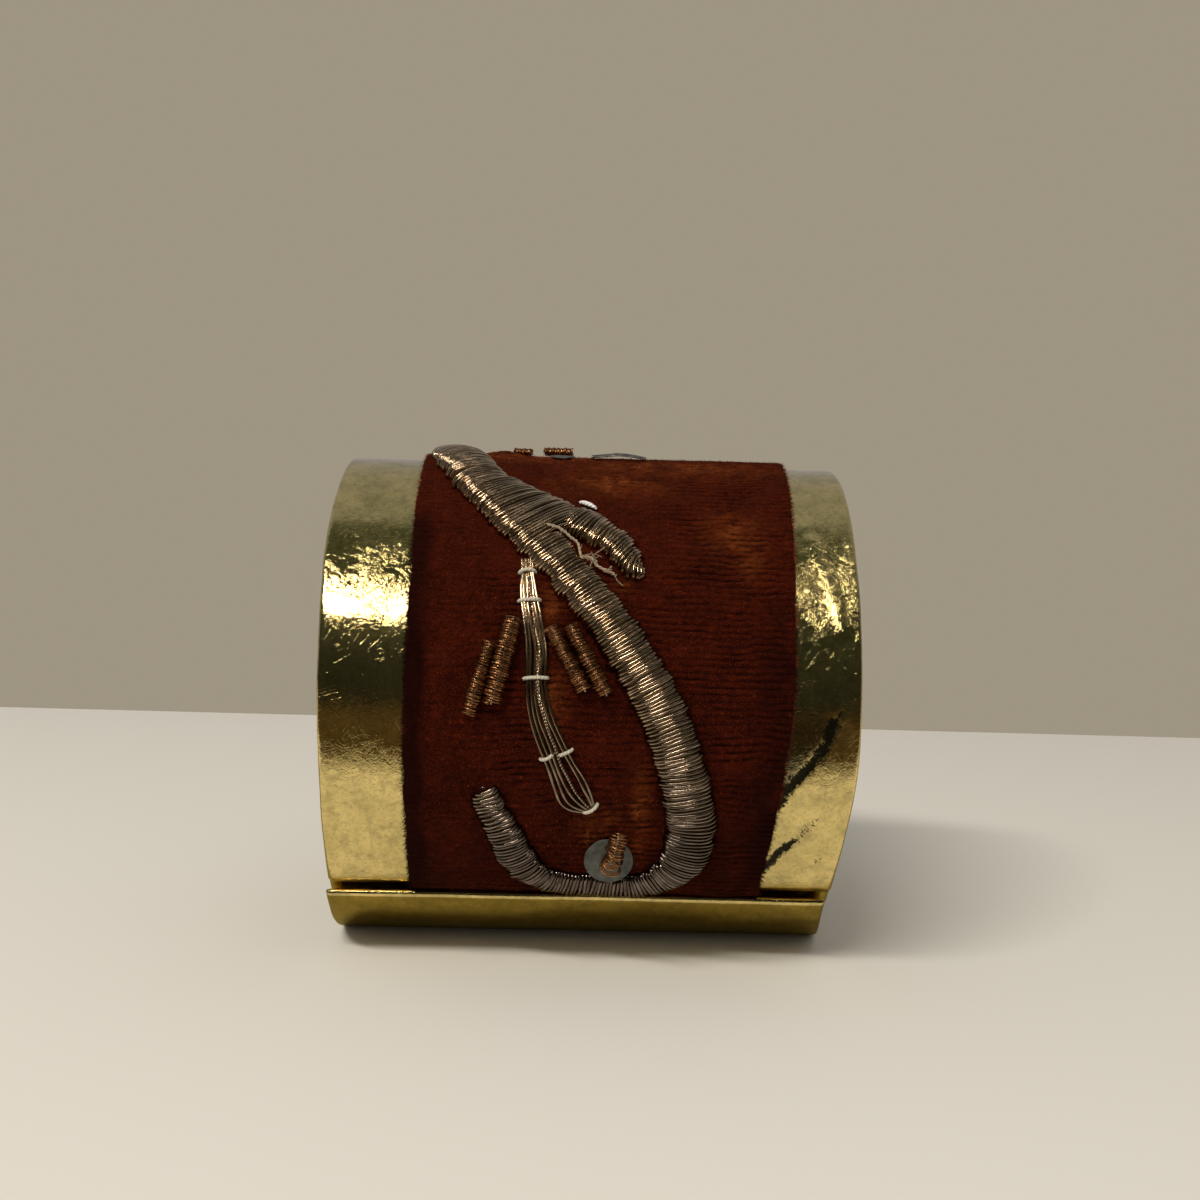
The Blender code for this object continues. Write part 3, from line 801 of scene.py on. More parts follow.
def build_sheet(surface):
    step = 0.68
    front = np.arange(TUCKED_END, BEND[0], step)
    ends = math.degrees(SHEET / 2.0 / WALL_RADIUS) * (1.0 - np.cos(np.linspace(0.0, QUARTER, 6)))
    angles = distinct(np.concatenate([
        TUCKED_END + ends,
        front[(front > TUCKED_END + ends[-1] + 0.2)],
        np.linspace(*BEND, 37),
        np.arange(BEND[1] + step, 265.0, step),
        np.linspace(260.55, 279.45, 28),
        np.arange(280.2, LIP - ends[-1] - 0.2, step),
        LIP - ends[::-1],
    ]))
    pieces = shell_stretches("brass", angles, sheet_section, surface, "brass_sheet", "band_wall")
    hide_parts("band_lap")


# ---------------------------------------------------------------- the cloth strip


def cloth_left(angle):
    return -17.1 + 0.3 * smoothstep(0.0, -45.0, angle)


def cloth_right(angle):
    return 16.7 + 2.0 * smoothstep(-45.0, 15.0, angle) + 0.8 * smoothstep(15.0, 90.0, angle)


def pinch(angle):
    """How far the cloth is squeezed where it runs into the tuck."""
    return 1.0 - smoothstep(*TUCK_BEND, angle)


def cloth_grid(angles, base, top, inset, columns):
    """The strip's outlines, with rounded long edges, as across, radius and a height share from -1 to 1."""
    left = cloth_left(angles)[:, None] + inset
    right = cloth_right(angles)[:, None] - inset
    middle = np.broadcast_to((base + top) / 2.0, angles.shape)[:, None]
    half = np.broadcast_to((top - base) / 2.0, angles.shape)[:, None]
    across, lift = rounded_outline(left, right, half, columns, 4)
    return across, sheet_outer(angles)[:, None] + middle + lift, lift / half


def rib_relief(x, s):
    """Height of the worn ribs that run across the strip, a little broken up."""
    wander = 0.22 * noise(x / 3.2, s / 4.0, 21) + 0.12 * noise(x / 1.0, s / 1.5, 22)
    groove = np.abs(np.sin(np.pi * (s + wander) / 0.66)) ** 0.6
    strength = np.clip(0.75 + 0.7 * noise(x / 1.9, s / 1.2, 23), 0.1, 1.4)
    plush = np.maximum(smoothstep(13.0, 19.0, s) * smoothstep(9.0, 5.0, x), smoothstep(-8.0, -12.0, x))
    ribs = 0.21 * (groove - 0.85) * strength * (1.0 - 0.7 * plush)
    return ribs + 0.05 * noise(x / 0.42, s / 0.34, 24) + 0.035 * noise(x / 0.2, s / 0.19, 25)


# Worn patches, as their centre and half width across and around.
BARE_PATCHES = [
    (13.4, 20.0, 2.6, 2.6), (14.6, 17.2, 1.5, 2.0), (4.8, -8.8, 0.8, 4.4), (-3.9, 11.6, 0.9, 1.8),
    (-1.0, 16.2, 1.1, 0.9), (2.6, 13.6, 0.8, 0.8), (0.9, -9.8, 1.8, 2.2), (-3.6, 2.4, 1.2, 3.0),
    (-6.0, 37.0, 9.0, 3.4), (8.0, 32.5, 9.0, 3.0), (1.5, 27.5, 5.0, 2.2),
]


def velvet_wear(x, s):
    """Shares of bare rust patches and of darker velvet."""
    bare = 0.0
    for centre_x, centre_s, half_x, half_s in BARE_PATCHES:
        bare = np.maximum(bare, hump(centre_x, half_x, x) * hump(centre_s, half_s, s))
    bare = np.clip(bare * (0.75 + 0.6 * noise(x / 1.1, s / 0.9, 26)), 0.0, 1.0)
    # The velvet is darker on its right-hand side, in a band by its left edge and low down on either side.
    thick = smoothstep(13.2, 17.0, x) * 0.7 * smoothstep(14.0, 8.0, s)
    thick = thick + 1.5 * smoothstep(-14.4, -16.4, x) * smoothstep(24.0, 18.0, s)
    thick = thick + 0.5 * smoothstep(2.0, -14.0, s) * (smoothstep(8.0, 12.0, x) + smoothstep(-7.0, -11.0, x))
    thick = np.clip(thick * (0.8 + 0.4 * noise(x / 2.0, s / 3.0, 27)), 0.0, 1.0)
    return triple(bare, thick, 0.0)


def velvet_section(angles):
    """The velvet's outlines and fields, with its ribs, the lumps over the padding and its frayed edges."""
    squeeze = pinch(angles)
    base = VELVET_BASE - 0.2 * squeeze
    top = VELVET_TOP - 0.15 * squeeze
    across, radius, lift = cloth_grid(angles, base, top, 0.0, 170)
    around = np.radians(angles)[:, None] * STITCH_RADIUS
    show = smoothstep(-0.4, 0.6, lift)
    relief = rib_relief(across, around) * show * (1.0 - 0.8 * squeeze)[:, None]
    lump = 0.55 * hump(-9.3, 2.0, across) * hump(38.4, 1.8, around) * show
    bulge = 0.35 * hump(13.0, 3.0, across) * hump(-19.5, 1.2, around) * show
    edge = 0.12 * noise(around / 2.3, across / 50.0, 28) + 0.05 * noise(around / 0.6, 0.0, 29)
    edge = edge * smoothstep(14.0, 17.0, np.abs(across))
    fields = {"sheet": triple(across, around, relief), "wear": velvet_wear(across, around)}
    return across + edge, radius + relief + lump + bulge, fields


def build_velvet(surface):
    step = 0.34
    angles = distinct(np.concatenate([
        np.arange(-54.0, BEND[0], step),
        np.linspace(*BEND, 71),
        np.arange(BEND[1] + step, CLOTH_BACK_END, step),
        [CLOTH_BACK_END],
    ]))
    shell_stretches("velvet", angles, velvet_section, surface, "rust_velvet", "velvet_strip")


def build_pile(surface):
    """Loose fibres that stand out of the velvet, each a thin bent blade."""
    random = np.random.default_rng(SEED + 1)
    regions = ((-45.0, BEND[0], 30000), (*BEND, 4200), (BEND[1], CLOTH_BACK_END - 0.5, 16000))
    for (label, body, _, _), (low, high, count) in zip(STRETCHES, regions):
        angle = random.uniform(low, high, count)
        span = random.uniform(0.0, 1.0, count)
        # A fifth of the fibres fray out of the two cut edges.
        edge = random.uniform(0.0, 1.0, count)
        outward = (edge > 0.9).astype(float) - (edge < 0.1)
        span = np.where(outward < 0.0, 0.002 * random.uniform(0, 1, count), span)
        span = np.where(outward > 0.0, 1.0 - 0.002 * random.uniform(0, 1, count), span)
        x = cloth_left(angle) + (cloth_right(angle) - cloth_left(angle)) * span
        s = np.radians(angle) * STITCH_RADIUS
        base = sheet_outer(angle) + VELVET_TOP - 0.15 * pinch(angle)
        root = rib_relief(x, s) - 0.03 - 0.12 * np.abs(outward)
        length = random.uniform(0.12, 0.30, count)
        lean_x = random.normal(0.0, 0.5, count) + outward * 1.1
        lean_s = random.normal(-0.35, 0.5, count)
        width = random.uniform(0.018, 0.032, count)
        swing = random.uniform(0.0, math.pi, count)
        points = []
        for share, wide in ((0.0, 1.0), (0.55, 0.8), (1.0, 0.15)):
            height = base + root + length * share * (1.0 - 0.25 * share)
            for sign in (-wide, wide):
                blade_x = x + lean_x * length * share**1.5 + sign * width * np.cos(swing)
                blade_s = lean_s * length * share**1.5 + sign * width * np.sin(swing)
                points.append(place(blade_x, angle + np.degrees(blade_s / STITCH_RADIUS), height))
        corner = np.arange(count)[:, None] * len(points)
        quads = np.concatenate([corner + np.array([0, 1, 3, 2]), corner + np.array([2, 3, 5, 4])])
        fields = {"sheet": triple(x, s, length), "wear": velvet_wear(x, s)}
        fields = {key: np.repeat(field[:, None], len(points), axis=1) for key, field in fields.items()}
        piece = make_object(f"pile_{label}", np.stack(points, axis=1), quads, surface, fields)
        fit(piece, body, "rust_velvet", "velvet_strip")


def linen_section(angles):
    across, radius, lift = cloth_grid(angles, LINEN_BASE, LINEN_TOP, 0.8, 120)
    return across, radius, {"sheet": triple(across, np.radians(angles)[:, None] * WALL_RADIUS, lift)}


def build_linen(surface):
    angles = np.concatenate([np.arange(-36.0, BEND[0]), np.linspace(*BEND, 25),
                             np.arange(BEND[1] + 1.0, CLOTH_BACK_END - 1.5)])
    shell_stretches("linen", angles, linen_section, surface, "linen", "linen_backing")


# ---------------------------------------------------------------- wrapped padding


def saddle(turn, right, left, top):
    """Side and height of a wire that arches over the padding, for turns from 0 (right) to pi (left)."""
    cosine = np.cos(turn)
    side = np.sign(cosine) * np.abs(cosine) ** 0.85 * np.where(cosine > 0.0, right, left)
    return side, top * np.maximum(np.sin(turn), 0.0) ** 0.8


def always_one(share):
    return 1.0


def wire_turns(course, pitch, spread, lean, seed, start, end, gaps, ends=1.3, flatten=always_one):
    """Paths of close metal turns laid over a padded course, with a hand's unevenness.

    spread(share) is the extra reach to the right and lean(share) how far the right foot runs ahead.
    gaps lists (share, opening, side) where turns have slipped apart on one side.
    """
    random = np.random.default_rng(seed)
    count = int(course.length * (end - start) / pitch)
    share = np.linspace(start, end, count) + random.normal(0.0, 0.05 * pitch, count) / course.length
    share = share[:, None]
    turn = np.linspace(-0.02, math.pi + 0.02, 23)[None, :]
    number = np.arange(count)[:, None]
    half = course.half_at(share)
    uneven_right = 0.16 * noise(number / 2.3, 0.0, seed + 1) + random.normal(0.0, 0.07, (count, 1))
    uneven_left = 0.16 * noise(number / 2.6, 9.0, seed + 2) + random.normal(0.0, 0.07, (count, 1))
    # The first and last turns draw in over the rounded ends of the padding.
    from_end = np.minimum(share - start, end - share) * course.length
    dome = np.sqrt(1.0 - (1.0 - np.clip(from_end / ends, 0.0, 1.0)) ** 2)
    right = (half + spread(share)) * (0.30 + 0.70 * dome) + uneven_right - WIRE_SEAT
    left = half * (0.30 + 0.70 * dome) + uneven_left - WIRE_SEAT
    top = padded_height(half) * (0.16 + 0.84 * dome) * flatten(share) - WIRE_SEAT
    top = top + random.normal(0.0, 0.02, (count, 1)) + 0.05 * noise(number / 6.0, 4.0, seed + 3)
    side, height = saddle(turn, right, left, top)
    slide = (side / half) * lean(share)
    slide = slide + 0.10 * noise(number / 2.2, turn * 0.9, seed + 4)
    slide = slide + 0.04 * np.sin(turn * 2.0 + noise(number / 4.0, 2.0, seed + 5) * 3.0)
    for where, opening, sign in gaps:
        ahead = (share - where) * course.length
        push = opening * np.sign(ahead) * np.exp(-((np.abs(ahead) / (3.0 * opening)) ** 1.5))
        slide = slide + push * smoothstep(-0.3, 1.0, sign * side / half)
    bulge = np.where(np.sin(turn) < 0.3, random.normal(0.0, 0.05, (count, 1)), 0.0)
    # No turn slides past either end of the course.
    share = np.clip(share + slide / course.length, 0.0, 1.0)
    return course.lift(share, side + bulge, height + 0.06)


def build_core(name, course, start, end, surface, shrink, flatten=always_one):
    """The soft padding under the wires, a rounded ridge with a fuzzy surface."""
    share = np.linspace(start, end, 160)[:, None]
    turn = np.linspace(0.0, math.pi, 22)[None, :]
    half = course.half_at(share) - shrink
    side, height = saddle(turn, half, half, padded_height(half + shrink) * flatten(share) - shrink)
    fuzz = 0.05 * noise(share * course.length / 0.5, turn * 4.0, 41)
    crown = course.lift(share, side, height + fuzz + 0.04)
    foot = course.lift(share, side, 0.02)
    field = triple(share * course.length, turn, 0.0)
    points = np.concatenate([crown, foot[:, ::-1]], axis=1)
    field = np.concatenate([field, field[:, ::-1]], axis=1)
    return make_object(name, points, closed_strip(*points.shape[:2]), surface, {"thread": field})


def build_wrapped(name, turns, core, seed, silver):
    """The turns of wire as tubes of slightly uneven thickness, with their padding."""
    uneven = np.random.default_rng(seed).normal(0.0, 1.0, (len(turns), 1))
    radii = WIRE * (1.0 + 0.06 * uneven)
    thread(f"{name}_turns", turns, radii, 8, silver, "silver_thread", f"{name}_wrapping")
    fit(core, "band", "cotton_padding", f"{name}_padding")


def stem_spread(share):
    """The upper turns reach right across the foot of the leaf as well."""
    return 3.35 * smoothstep(0.115, 0.262, share) * (1.0 - smoothstep(0.2685, 0.2725, share))


def stem_flatten(share):
    """The padding thins towards the top of the ring."""
    return 1.0 - 0.26 * (1.0 - smoothstep(0.0, 0.13, share))


def stem_lean(share):
    return 0.05 - 0.9 * hump(0.03, 0.05, share) + 0.10 * hump(0.24, 0.06, share)


def build_stem(silver, cotton):
    course = Course(STEM)
    gaps = (
        (0.132, 0.40, -1.0), (0.098, 0.22, 1.0), (0.204, 0.12, 1.0), (0.236, 0.13, 1.0), (0.31, 0.07, 1.0),
        (0.345, 0.10, -1.0), (0.415, 0.07, -1.0), (0.55, 0.07, -1.0), (0.64, 0.06, 1.0), (0.79, 0.08, 1.0),
    )
    turns = wire_turns(course, 0.352, stem_spread, stem_lean, 51, 0.002, 0.998, gaps, flatten=stem_flatten)
    core = build_core("stem_core", course, 0.016, 0.986, cotton, 0.55, stem_flatten)
    build_wrapped("stem", turns, core, 5, silver)


def no_spread(share):
    return 0.0


def leaf_lean(share):
    return 0.25 - 0.9 * smoothstep(0.5, 1.0, share)


def build_leaf(silver, cotton):
    course = Course(LEAF)
    gaps = ((0.705, 0.20, -1.0), (0.86, 0.08, 1.0))
    turns = wire_turns(course, 0.35, no_spread, leaf_lean, 61, 0.455, 0.995, gaps, 0.9)
    core = build_core("leaf_core", course, 0.48, 0.95, cotton, 0.58)
    build_wrapped("leaf", turns, core, 6, silver)


# ---------------------------------------------------------------- couched bundle


def twisted(line, radius, pitch, plies):
    """Paths of plies that wind round a line of points."""
    run = np.gradient(line, axis=0)
    length = np.linalg.norm(run, axis=1)
    along = np.cumsum(length) / MM
    run = run / length[:, None]
    side = np.cross(run, (0.31, 0.2, 0.93))
    side /= np.linalg.norm(side, axis=1)[:, None]
    other = np.cross(run, side)
    turns = [2.0 * math.pi * (along / pitch + ply / plies)[:, None] for ply in range(plies)]
    return np.array([line + (side * np.cos(turn) + other * np.sin(turn)) * radius * MM for turn in turns])


def bundle_half(course, share):
    """Half the width of the row of strands, drawn in by the stitches at both ends."""
    half = course.half_at(share) + 0.10
    drawn = 0.28 * hump(0.02, 0.05, share) + 0.14 * hump(0.62, 0.14, share) + 0.42 * hump(1.0, 0.035, share)
    return half * (1.0 - drawn + 0.10 * hump(0.86, 0.05, share))


def build_bundle(passing, white):
    course = Course(BUNDLE)
    random = np.random.default_rng(71)
    tuck = np.linspace(1.0, 0.0, 12)[:-1, None]
    for number, parted in enumerate(PARTED):
        even = (number - 2.5) / 2.5
        share = np.linspace(0.0, 1.0 - 0.015 * abs(even), 150)
        in_row = even + (parted - even) * smoothstep(0.70, 0.80, share)
        wobble = 0.06 * noise(share * 12.0, number * 3.0, 72)
        rise = 0.08 * noise(share * 11.0, number * 5.0, 73)
        sag = 0.55 * hump(0.92, 0.05, share) * max(-even, 0.0)
        side = in_row * bundle_half(course, share) + wobble - sag
        line = course.lift(share, side, 0.27 + rise + 0.07 * (1.0 - even**2))
        # The strands start out of sight, under the edge of the wrapped stem.
        run = (line[0] - line[4]) / np.linalg.norm(line[0] - line[4])
        line = np.concatenate([line[0] + run * tuck * 1.1 * MM, line])
        radius = STRAND
        if number == CORDED_STRAND:
            radius = CORD_PLY
            line = twisted(line, radius, 0.62, 2)
        tail = number + 1
        thread(f"bundle_strand_{tail}", line, radius, 8, passing, "silver_thread", f"cord_strand_{tail}")
    t = np.linspace(0.0, 1.0, 26)
    arch = np.sin(math.pi * t)
    for number, (share, first, last, slant) in enumerate(COUCHING):
        side = (first + (last - first) * t) * (bundle_half(course, share) + 0.28)
        bow = 0.06 * arch * (1.0 if number % 2 else -1.0)
        along = share + (slant * (t - 0.5) + bow) / course.length + random.normal(0.0, 0.003)
        path = course.lift(along, side, 0.05 + 0.63 * np.maximum(arch, 0.0) ** 0.45)
        tail = number + 1
        thread(f"couching_thread_{tail}", path, COUCHING_THREAD, 10, white, "sewing_thread",
               f"couching_stitch_{tail}")


# ---------------------------------------------------------------- purls and spangle


def coil(line, radius, pitch, wire, seed, lumpy):
    """A close coil around a line of points, a little crushed, as one path."""
    run = np.gradient(line, axis=0)
    length = np.concatenate([[0.0], np.cumsum(np.linalg.norm(np.diff(line, axis=0), axis=1))]) / MM
    at = np.linspace(0.0, length[-1], int(length[-1] / pitch * 15))
    centre = np.stack([np.interp(at, length, line[:, i]) for i in range(3)], axis=1)
    along = np.stack([np.interp(at, length, run[:, i]) for i in range(3)], axis=1)
    along /= np.linalg.norm(along, axis=1)[:, None]
    out = (centre - np.array(CENTRE)) * (0.0, 1.0, 1.0)
    up = out - along * (out * along).sum(1)[:, None]
    up /= np.linalg.norm(up, axis=1)[:, None]
    side = np.cross(along, up)
    turn = 2.0 * math.pi * at / pitch
    reach = np.interp(at, length, np.broadcast_to(radius, len(line))) - wire
    reach = reach * (1.0 + lumpy * noise(turn / 2.3, 0.0, seed) + 0.05 * np.cos(3.0 * turn + at))
    slip = 0.25 * pitch * noise(turn / 4.0, 7.0, seed + 1)
    path = centre + (up * np.sin(turn)[:, None] + side * np.cos(turn)[:, None]) * reach[:, None] * MM
    return path + along * slip[:, None] * MM


def straight(start, end, height):
    share = np.linspace(0.0, 1.0, 60)
    return on_velvet(*(a + (b - a) * share for a, b in zip(start, end)), height)


def smooth_line(points, count):
    """A Catmull-Rom line through a few points."""
    points = np.asarray(points, float)
    last = len(points) - 1
    mark = np.linspace(0.0, last, count)
    i = np.minimum(mark.astype(int), last - 1)
    t = (mark - i)[:, None]
    p0, p1, p2, p3 = points[np.maximum(i - 1, 0)], points[i], points[i + 1], points[np.minimum(i + 2, last)]
    return 0.5 * (2 * p1 + (p2 - p0) * t + (2 * p0 - 5 * p1 + 4 * p2 - p3) * t**2
                  + (3 * p1 - p0 - 3 * p2 + p3) * t**3)


def sewing_line(start, end, rest, reach=0.14):
    """The thread through a purl, with both ends diving into the velvet."""
    a, b = np.array(start), np.array(end)
    along = (b - a) / np.linalg.norm(b - a)
    dive = ((-reach, 0.1), (-reach * 0.6, rest * 0.75), (0.1, rest), (0.8, 0.34))
    marks = [(a + along * ahead, height) for ahead, height in dive]
    marks += [(a * 0.5 + b * 0.5, 0.32)]
    marks += [(b - along * ahead, height) for ahead, height in dive[::-1]]
    return smooth_line([on_velvet(*spot, height) for spot, height in marks], 60)


def build_purls(copper, white):
    kinds = (("purl", "purl", PURLS, 0.22), ("crest", "crest_purl", CREST_PURLS, 0.17))
    for prefix, node, rods, pitch in kinds:
        for number, (start, end, radius) in enumerate(rods):
            rest = 0.12 + radius
            path = coil(straight(start, end, rest), radius * 1.14, pitch, PURL_WIRE, 80 + number, 0.2)
            tail = number + 1
            thread(f"{prefix}_coil_{tail}", path, 0.094, 7, copper, "copper_purl", f"{node}_{tail}")
            thread(f"{prefix}_sewing_{tail}", sewing_line(start, end, rest), 0.07, 8, white, "sewing_thread",
                   f"{prefix}_thread_{tail}")


def build_disc(name, node, body, centre, axis, radius, hole, surface, seed):
    """A thin crinkled disc with a rolled rim and a punched hole."""
    rings = np.concatenate([np.linspace(hole, radius - 0.08, 22), [radius - 0.03, radius]])
    r, t = np.meshgrid(rings, 2.0 * math.pi * np.arange(96) / 96, indexing="ij")
    x = r * np.cos(t)
    y = r * np.sin(t)
    far = (r / radius) ** 2
    warp = 0.05 * noise(x / 1.1 + 9.0, y / 1.1 + 4.0, seed) + 0.03 * np.cos(t * 2.0 + 0.6) * far - 0.05 * far
    thick = 0.05 * np.sqrt(1.0 - np.clip((r - radius + 0.08) / 0.08, 0.0, 0.98) ** 2)
    faces = [triple(x, y, warp + thick), triple(x, y, warp - thick)[::-1]]
    loop = np.concatenate(faces).transpose(1, 0, 2)
    rows, columns = loop.shape[:2]
    quads = wrap_faces(rows + 1, columns) % (rows * columns)
    up = Vector(axis).normalized()
    across = Vector((1.0, 0.0, 0.0))
    points = loop @ np.array([across, up.cross(across), up]) * MM + np.array(centre)
    piece = make_object(name, points, quads, surface, {"thread": loop + (seed * 3.0, 0.0, 0.0)})
    fit(piece, body, "spangle", node)


def outward_at(around):
    turn = around / STITCH_RADIUS
    return Vector((0.0, -math.cos(turn), math.sin(turn)))


def build_spangle(dull, copper, white):
    axis = outward_at(SPANGLE_CENTRE[1] + math.radians(SPANGLE_TILT) * STITCH_RADIUS)
    spin = JOINTS["sequin_spin"]
    build_disc("spangle_disc", "sequin", "spangle", spin, axis, SPANGLE_RADIUS, SPANGLE_HOLE, dull, 91)
    hole = np.array(SPANGLE_CENTRE)
    foot = np.array((3.0, -9.75))
    t = np.linspace(0.0, 1.0, 60)
    line = straight(hole, foot, 1.75 - 0.75 * t + 0.35 * np.sin(math.pi * t))
    path = coil(line, 0.95 - 0.15 * t, 0.25, 0.085, 93, 0.32)
    thread("spangle_coil", path, 0.086, 7, copper, "copper_purl", "sequin_purl")
    # Both ends of the thread dive out of sight, under the disc and inside the coil.
    before = on_velvet(*hole, np.array([0.1, 0.6, 1.2]))
    after = on_velvet(foot[0] - 0.12, foot[1] + np.array([-0.80, -0.76]), np.array([0.6, 0.1]))
    path = smooth_line(np.concatenate([before, line[4:44:10], after]), 70)
    thread("spangle_sewing", path, 0.055, 8, white, "sewing_thread", "sequin_thread")


# ---------------------------------------------------------------- loose threads and crest


def stray_hair(line, start, random):
    """One fibre that leaves the frayed strand at a share of its length and stays above the velvet."""
    # The bunches of fibres half way along curl up instead of running on.
    curl = start in (0.60, 0.66)
    reach = random.uniform(0.45, 0.8) if curl else random.uniform(0.4, 0.9)
    last = len(line) - 1
    here = int(start * last)
    at = line[here] / MM
    run = line[min(here + 4, last)] / MM - at
    run /= np.linalg.norm(run)
    off = random.normal(0.0, 0.75 if curl else 0.45, 3)
    share = np.linspace(0.0, 1.0, len(line))[:, None]
    twirl = np.sin(share * math.pi * random.uniform(1.0, 2.5)) * random.normal(0.0, 0.25, 3)
    hair = at + run * reach * share * (0.3 if curl else 1.0) + off * reach * share**1.4 + twirl * share
    out = hair - (0.0, 0.0, CENTRE_HEIGHT)
    radius = np.hypot(out[:, 1], out[:, 2])
    out[:, 1:] *= (np.maximum(radius, STITCH_RADIUS + 0.3) / radius)[:, None]
    return (out + (0.0, 0.0, CENTRE_HEIGHT)) * MM


FRAYED_KNOTS = [
    (-4.45, 19.05, 1.62), (-3.3, 18.65, 1.64), (-2.25, 17.7, 1.55), (-1.55, 17.1, 1.4), (-1.2, 15.85, 1.2),
    (-0.6, 15.95, 0.98), (-0.05, 15.75, 0.86), (0.2, 15.25, 0.76), (1.0, 14.85, 0.62), (1.85, 14.55, 0.45),
]


def build_loose(fresh, beige):
    t = np.linspace(0.0, 1.0, 30)
    arch = np.maximum(np.sin(math.pi * t), 0.0)
    dash = on_velvet(-1.45 + 1.65 * t, 23.55 - 0.95 * t, 0.25 + 0.25 * arch**0.6)
    thread("stay_dash", dash, 0.06 + 0.17 * arch**0.4, 12, fresh, "sewing_thread", "stay_stitch")
    line = smooth_line([on_velvet(*knot) for knot in FRAYED_KNOTS], 120)
    random = np.random.default_rng(95)
    fuzzy = [0.03, 0.05, 0.10, 0.22, 0.34, 0.42] + [0.60] * 8 + [0.66] * 7 + [0.84, 0.88, 0.93, 0.97] * 2
    paths = [*twisted(line, 0.07, 0.9, 2)] + [stray_hair(line, start, random) for start in fuzzy]
    radii = np.array([0.075] * 2 + [0.034] * len(fuzzy))[:, None]
    thread("frayed_strand", paths, radii, 7, beige, "cotton_padding", "frayed_thread")


def build_crest(plate, dull):
    low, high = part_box("crest_sequin")
    middle = (low + high) / 2.0
    build_disc("crest_disc", "crest_sequin", "band", middle, outward_at(36.3), 1.3, 0.35, dull, 97)
    t = np.linspace(0.0, 1.0, 60)[:, None]
    share = np.linspace(-1.0, 1.0, 9)[None, :]
    arch = np.sin(math.pi * t)
    x = -0.2 + 5.6 * t
    s = 35.9 + 0.5 * arch + (0.35 + 0.45 * arch) * share
    lift = 0.2 + 0.25 * arch + 0.04 * noise(t * 9.0, 0.0, 98) + 0.16 * (1.0 - share**2)
    loop = np.concatenate([on_velvet(x, s, lift + 0.1), on_velvet(x, s, lift)[:, ::-1]], axis=1)
    field = triple(5.6 * t, loop[..., 1] / MM, 0.0)
    piece = make_object("crest_strip", loop, closed_strip(*loop.shape[:2]), plate, {"thread": field})
    fit(piece, "band", "silver_thread", "crest_plate")


# ---------------------------------------------------------------- studio


def build_floor():
    """A plain pale table top. In reflections only its near part is lit, as by one lamp."""
    look, _ = new_look("pale_floor")
    y = look.split(look.take("NewGeometry", "Position"))[1]
    seen = look.take("LightPath", "Is Glossy Ray")
    far = y.span(-0.066, -0.060, 1.0, 0.0) * seen
    # In reflections a strip of floor under the ring is painted a dim brass brown, a painted shadow for the
    # metal to mirror.
    under = y.span(-0.0172, -0.0160) * y.span(0.018, 0.026, 1.0, 0.0) * seen
    tone = look.coats((0.70, 0.69, 0.655), (far, (0.06, 0.04, 0.017)), (under, (0.27, 0.23, 0.085)))
    mesh = bpy.data.meshes.new("floor")
    corners = [(-0.9, -0.7, 0.0), (0.9, -0.7, 0.0), (0.9, 0.118, 0.0), (-0.9, 0.148, 0.0)]
    mesh.from_pydata(corners, [], [(0, 1, 2, 3)])
    mesh.materials.append(look.done(Base_Color=tone, Roughness=0.9, Specular_IOR_Level=0.1))
    put("floor", mesh)


# What metal mirrors of the room, as degrees up from straight ahead and the colour there.
ROOM = [
    (-60.0, (0.10, 0.08, 0.06)),
    (-8.0, (0.022, 0.019, 0.014)),
    (12.0, (0.022, 0.024, 0.019)),
    (60.0, (0.040, 0.046, 0.036)),
    (94.0, (0.075, 0.085, 0.070)),
    (94.8, (0.020, 0.020, 0.014)),
    (95.8, (0.27, 0.28, 0.30)),
    (179.0, (0.31, 0.30, 0.30)),
]


def build_world():
    """A plain warm-grey surround that reflects as a pale wall behind and a dim room in front."""
    world = bpy.data.worlds.new("studio")
    bpy.context.scene.world = world
    look = Look(world)
    look.tree.nodes.clear()
    _, y, z = look.split(look.take("TexCoord", "Generated"))
    share = look.math("ARCTAN2", z, y * -1.0).span(-math.pi, math.pi)
    ramp = look.take("ValToRGB", "Color", {"Fac": share})
    stops = ramp.socket.node.color_ramp.elements
    while len(stops) < len(ROOM):
        stops.new(0.5)
    for stop, (degrees, colour) in zip(stops, ROOM):
        stop.position = 0.5 + degrees / 360.0
        stop.color = (*colour, 1.0)
    backdrop = look.take("Background", 0, {"Color": (0.345, 0.298, 0.225), "Strength": 1.0})
    fill = look.take("Background", 0, {"Color": (0.50, 0.465, 0.415), "Strength": 0.86})
    mirror = look.take("Background", 0, {"Color": ramp})
    mixed = fill
    for ray, shown in (("Is Glossy Ray", mirror), ("Is Camera Ray", backdrop)):
        mixed = look.take("MixShader", 0, {"Fac": look.take("LightPath", ray), 1: mixed, 2: shown})
    look.add("OutputWorld", {"Surface": mixed})


def area_light(name, across, degrees_up, size, power, colour, glossy=True, diffuse=True):
    """A lamp in front of the ring, aimed at its centre."""
    reach = 0.62
    up = math.radians(degrees_up)
    light = bpy.data.lights.new(name, "AREA")
    light.shape = "RECTANGLE"
    light.size, light.size_y = size
    light.energy = power
    light.color = colour
    lamp = put(name, light)
    lamp.location = CENTRE + Vector((across, -math.cos(up) * reach, math.sin(up) * reach))
    lamp.rotation_euler = (CENTRE - lamp.location).to_track_quat("-Z", "Y").to_euler()
    lamp.visible_glossy = glossy
    lamp.visible_diffuse = diffuse


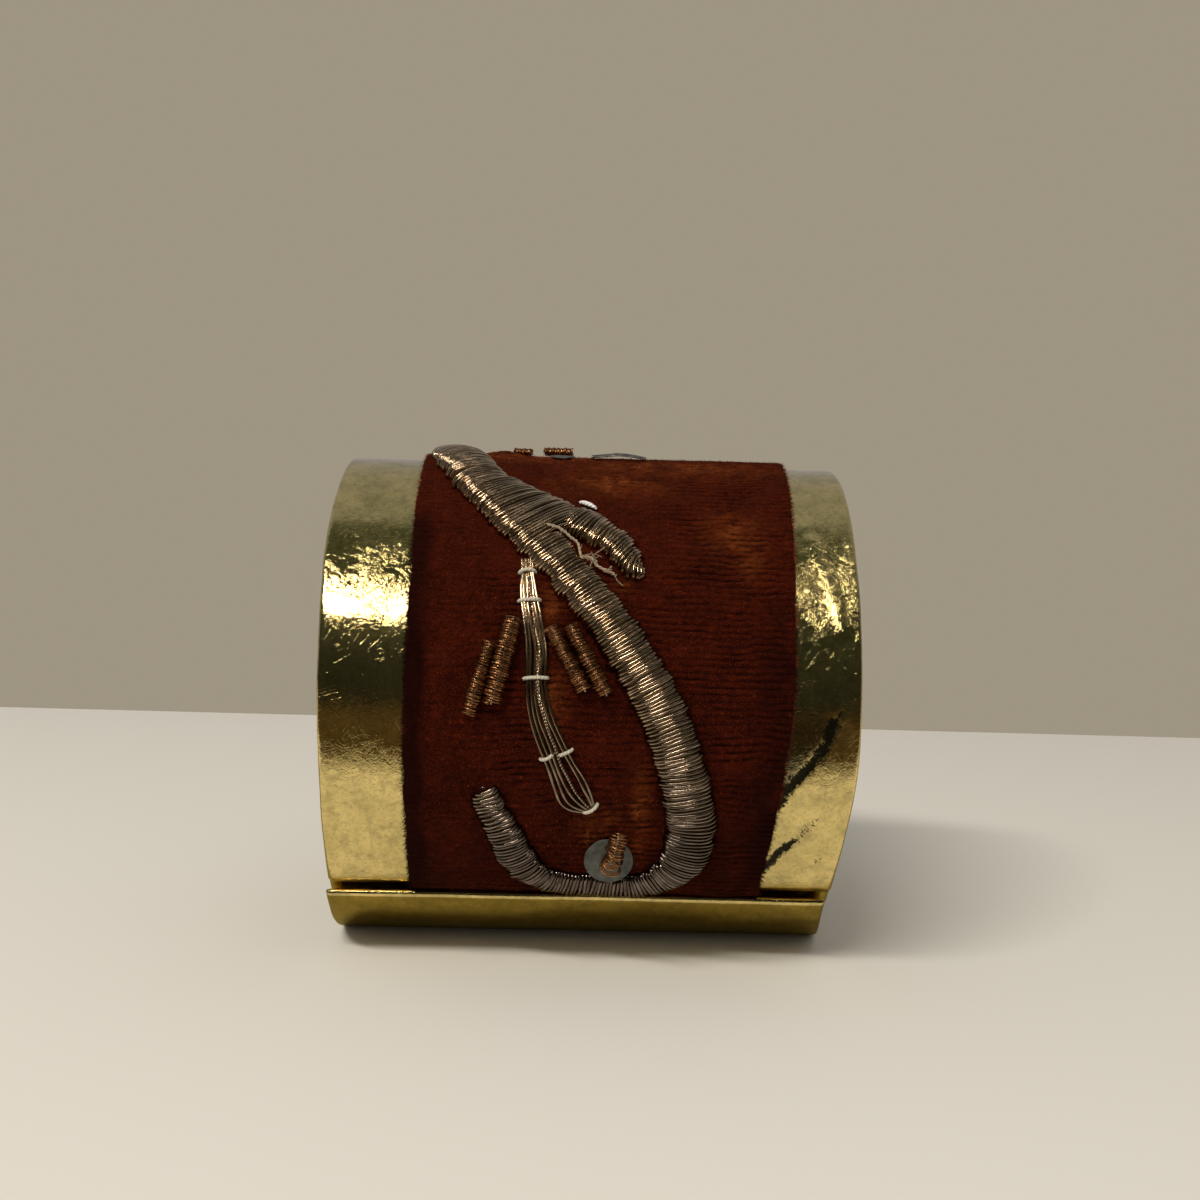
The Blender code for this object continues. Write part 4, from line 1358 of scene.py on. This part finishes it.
def build_lights():
    """A soft window high on the left and a weaker one that only just reaches the right-hand side."""
    area_light("key", -0.22, 50.0, (0.36, 0.06), 3.4, (1.0, 0.93, 0.82), glossy=False)
    # What the metal mirrors of the window is narrower and dimmer.
    area_light("key_in_metal", -0.22, 50.5, (0.36, 0.043), 2.1, (1.0, 0.95, 0.88), diffuse=False)
    area_light("side", 0.14, 60.0, (0.10, 0.06), 0.085, (1.0, 0.94, 0.84))


def build_camera():
    """A lens a hand's length away, a little above the ring and turned a little to one side."""
    sensor = 36.0
    lens = 1.36 * sensor
    distance = 0.1739
    rise = math.radians(8.0)
    swing = math.radians(-1.0)
    tilt = math.radians(1.5)
    # The ring's centre sits left of the picture's middle and below it, as shares of the focal length.
    off_x = -0.0079657
    off_y = -0.0557598
    back = Vector((math.sin(swing) * math.cos(rise), -math.cos(swing) * math.cos(rise), math.sin(rise)))
    right = (-back).cross(Vector((0.0, 0.0, 1.0))).normalized()
    base = Matrix((right, right.cross(-back), back)).transposed()
    pan = math.cos(tilt) * off_x - math.sin(tilt) * off_y
    nod = math.sin(tilt) * off_x + math.cos(tilt) * off_y
    turn = base @ Matrix.Rotation(math.atan(pan), 3, "Y") @ Matrix.Rotation(math.atan(-nod), 3, "X")
    turn = turn @ Matrix.Rotation(tilt, 3, "Z")
    camera = bpy.data.cameras.new("camera")
    camera.sensor_width = sensor
    camera.lens = lens
    camera.clip_start = 0.005
    holder = put("camera", camera)
    holder.matrix_world = Matrix.Translation(CENTRE + back * distance) @ turn.to_4x4()
    bpy.context.scene.camera = holder


def build_object():
    silver = silver_look()
    copper = copper_look()
    cotton = cotton_look()
    white = cotton_thread_look("white_sewing", (0.62, 0.57, 0.46), (0.30, 0.26, 0.19))
    fresh = cotton_thread_look("fresh_sewing", (0.86, 0.85, 0.84), (0.62, 0.60, 0.58))
    beige = cotton_thread_look("beige_strand", (0.50, 0.38, 0.24), (0.22, 0.15, 0.09))
    dull = spangle_look()
    build_sheet(brass_look())
    build_linen(linen_look())
    build_velvet(velvet_look())
    build_pile(pile_look())
    build_stem(silver, cotton)
    build_leaf(silver, cotton)
    build_bundle(passing_look(), white)
    build_purls(copper, white)
    build_spangle(dull, copper, white)
    build_loose(fresh, beige)
    build_crest(plate_look(), dull)


build_object()
build_floor()
build_world()
build_lights()
build_camera()
bpy.context.scene.view_settings.view_transform = "Standard"
